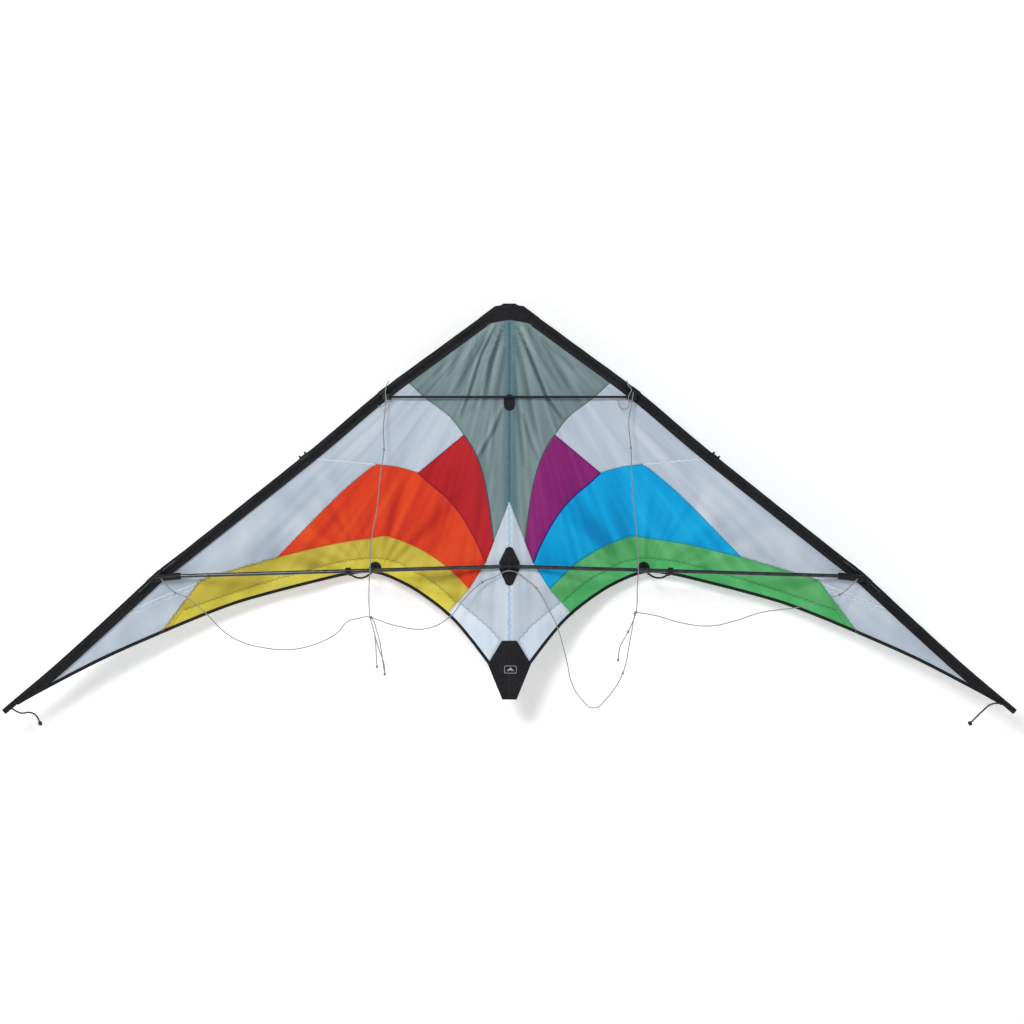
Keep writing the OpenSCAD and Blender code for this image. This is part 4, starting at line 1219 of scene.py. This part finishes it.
class KitePatches(bpy.types.Operator):
    """Webbing at the nose, keel and tail, and where the standoffs push"""
    bl_idname = "kite.patches"
    bl_label = "Patches"

    def execute(self, context):
        web = black_webbing()
        pale = plain_stuff("Pale woven label yarn", "#9AA0A4", "#C2C7CA", 0.7, 500.0, 0.3)
        ridge = [(0, -7)] + [p for p in ROD_LINE if p[0] < 60] + [(60, look(60, ROD_LINE))]

        def nose_front(x, z):
            gap = segment_gap(x, z, ridge)[0]
            return -(1.0 + 4.2 * math.exp(-(gap / 5.2) ** 2)) - 0.25 * math.sin(x * 0.55) ** 2

        patches = (
            ("nose_webbing", NOSE, nose_front, lambda x, z: -nose_front(x, z), 1.6, "nose_patch"),
            ("keel_rhombus", RHOMBUS, lambda x, z: -1.5, lambda x, z: -0.45, 3, "spine_patches"),
            ("keel_oval", OVAL, lambda x, z: -1.5, lambda x, z: -0.45, 3, "spine_patches"),
            ("tail_webbing", TAIL, lambda x, z: -1.0 - 0.3 * (x < 1.5), lambda x, z: 1.3, 3,
             "tail_patch"))
        seat, pad_r = (STANDOFF_X, -406), 9.5
        turns = [math.pi * k / 14 for k in range(15)]
        pad = [(seat[0] + pad_r * math.cos(a), seat[1] + pad_r * math.sin(a)) for a in turns]
        pad += [(seat[0] - pad_r, seat[1] - 7), (seat[0] + pad_r, seat[1] - 7)]
        for word, side in SIDES:
            for name, outline, front, back, step, node in patches:
                piece = flat_patch(f"{name}_{word}", outline, side, front, back, web, step)
                place_on(piece, (wing_of(side), side), [node])
            piece = flat_patch(f"standoff_pad_{word}", pad, side,
                               lambda x, z, s=side: cloth_y(x, z, s, 1.6),
                               lambda x, z, s=side: cloth_y(x, z, s, 0.3), web, 2.2)
            place_on(piece, wing_of(side), [f"standoff_patch_{word}"])
        calm_selection()
        bpy.ops.mesh.primitive_cylinder_add(vertices=40, radius=0.005, depth=0.038,
                                            location=(0, 0.0075, -0.025))
        pocket = bpy.context.object
        pocket.name = "spine_pocket"
        bpy.ops.object.transform_apply(location=True, rotation=True, scale=True)
        apply_modifier(pocket, "BEVEL", width=0.0008, segments=3, angle_limit=0.9,
                       limit_method="ANGLE")
        pocket.data.materials.append(web)
        place_on(pocket, "frame", ["nose_patch"])
        tape = plain_stuff("Woven blue-grey tape", "#51707F", "#6C8896", 0.75, 600.0, 0.4)
        strip = [(-9.8, -36), (9.8, -36), (9.8, -514), (-9.8, -514)]
        piece = flat_patch("spine_tape_cloth", strip, 1, lambda x, z: 1.0 + 0.05 * math.cos(z),
                           lambda x, z: 1.6 + 0.05 * math.cos(z), tape, 4.0)
        place_on(piece, "frame", ["spine_tape"])
        label = soft_box("tail_label", (LABEL_X * MM, -0.0016, LABEL_Z * MM),
                         (0.020, 0.0006, 0.0125), 0.0002, web)
        place_on(label, "frame")
        # A lighter grey strip along the centre fold of the tail webbing
        fold_grey = plain_stuff("Lighter webbing along the fold", "#26262A", "#303035", 0.8, 400.0, 0.3)
        fold = soft_box("tail_fold", (0, -0.0012, -0.561), (0.0011, 0.0006, 0.088), 0.00025, fold_grey)
        place_on(fold, "frame")
        half_w, half_h = 9.2, 5.5
        rim = label_rim(half_w, half_h, 2.4)
        rings = []
        for cx, cz in rim + rim[:1]:
            x, z = LABEL_X + cx, LABEL_Z + cz
            rings.append([(x - 0.45 * cx / half_w, -1.9, z - 0.45 * cz / half_h), (x, -2.15, z),
                          (x + 0.4 * cx / half_w, -1.9, z + 0.4 * cz / half_h), (x, -1.8, z)])
        place_on(face_front(lofted("label_border", rings, pale, caps=False)), "frame")
        chevron = [(LABEL_X + x, LABEL_Z + z)
                   for x, z in ((-5.8, -2.2), (0, 3.2), (5.8, -2.2), (0, -0.8))]
        place_on(flat_patch("label_mark", chevron, 1, lambda x, z: -2.1, lambda x, z: -1.85, pale,
                            2.0), "frame")
        return {"FINISHED"}


class KiteFrameFinish(bpy.types.Operator):
    """Finishes for the tubes, rods and fittings of the frame"""
    bl_idname = "kite.frame_finish"
    bl_label = "Frame finishes"

    def execute(self, context):
        kinds = (
            (("spine_rod", "leading_rod", "lower_spreader"), carbon),
            (("upper_spreader", "standoff_rod"), glass_rod),
            (("ferrule",), aluminium),
            (("fitting", "clip", "tee"), moulded),
            (("nock", "cap"), vinyl),
        )
        for name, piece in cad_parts.items():
            for words, make in kinds:
                if any(word in name for word in words):
                    piece.data.materials.clear()
                    piece.data.materials.append(make())
                    break
        return {"FINISHED"}


class KitePanel(bpy.types.Panel):
    bl_idname = "VIEW3D_PT_kite"
    bl_label = "Delta kite"
    bl_space_type = "VIEW_3D"
    bl_region_type = "UI"
    bl_category = "Kite"

    def draw(self, context):
        layout = self.layout
        for group in (getattr(context.scene, key) for key in GROUPS):
            for key in group.bl_rna.properties.keys():
                if key not in ("rna_type", "name"):
                    layout.prop(group, key)
        for operator in OPERATORS:
            layout.operator(operator.bl_idname)


GROUPS = {"kite_cloth": KiteClothSettings, "kite_colours": KiteColourSettings,
          "kite_lines": KiteLineSettings, "kite_stage": KiteStageSettings}
OPERATORS = (KiteStage, KiteCords, KitePanels, KiteSeams, KiteEdges, KitePatches, KiteFrameFinish)


def register():
    for kind in (*GROUPS.values(), *OPERATORS, KitePanel):
        bpy.utils.register_class(kind)
    for key, group in GROUPS.items():
        setattr(bpy.types.Scene, key, bpy.props.PointerProperty(type=group))


def unregister():
    for key in GROUPS:
        delattr(bpy.types.Scene, key)
    for kind in (KitePanel, *reversed(OPERATORS), *reversed(GROUPS.values())):
        bpy.utils.unregister_class(kind)


def main():
    register()
    bpy.ops.kite.stage()
    bpy.ops.kite.cords()
    bpy.ops.kite.panels()
    bpy.ops.kite.seams()
    bpy.ops.kite.edges()
    bpy.ops.kite.patches()
    bpy.ops.kite.frame_finish()


if __name__ == "__main__":
    main()
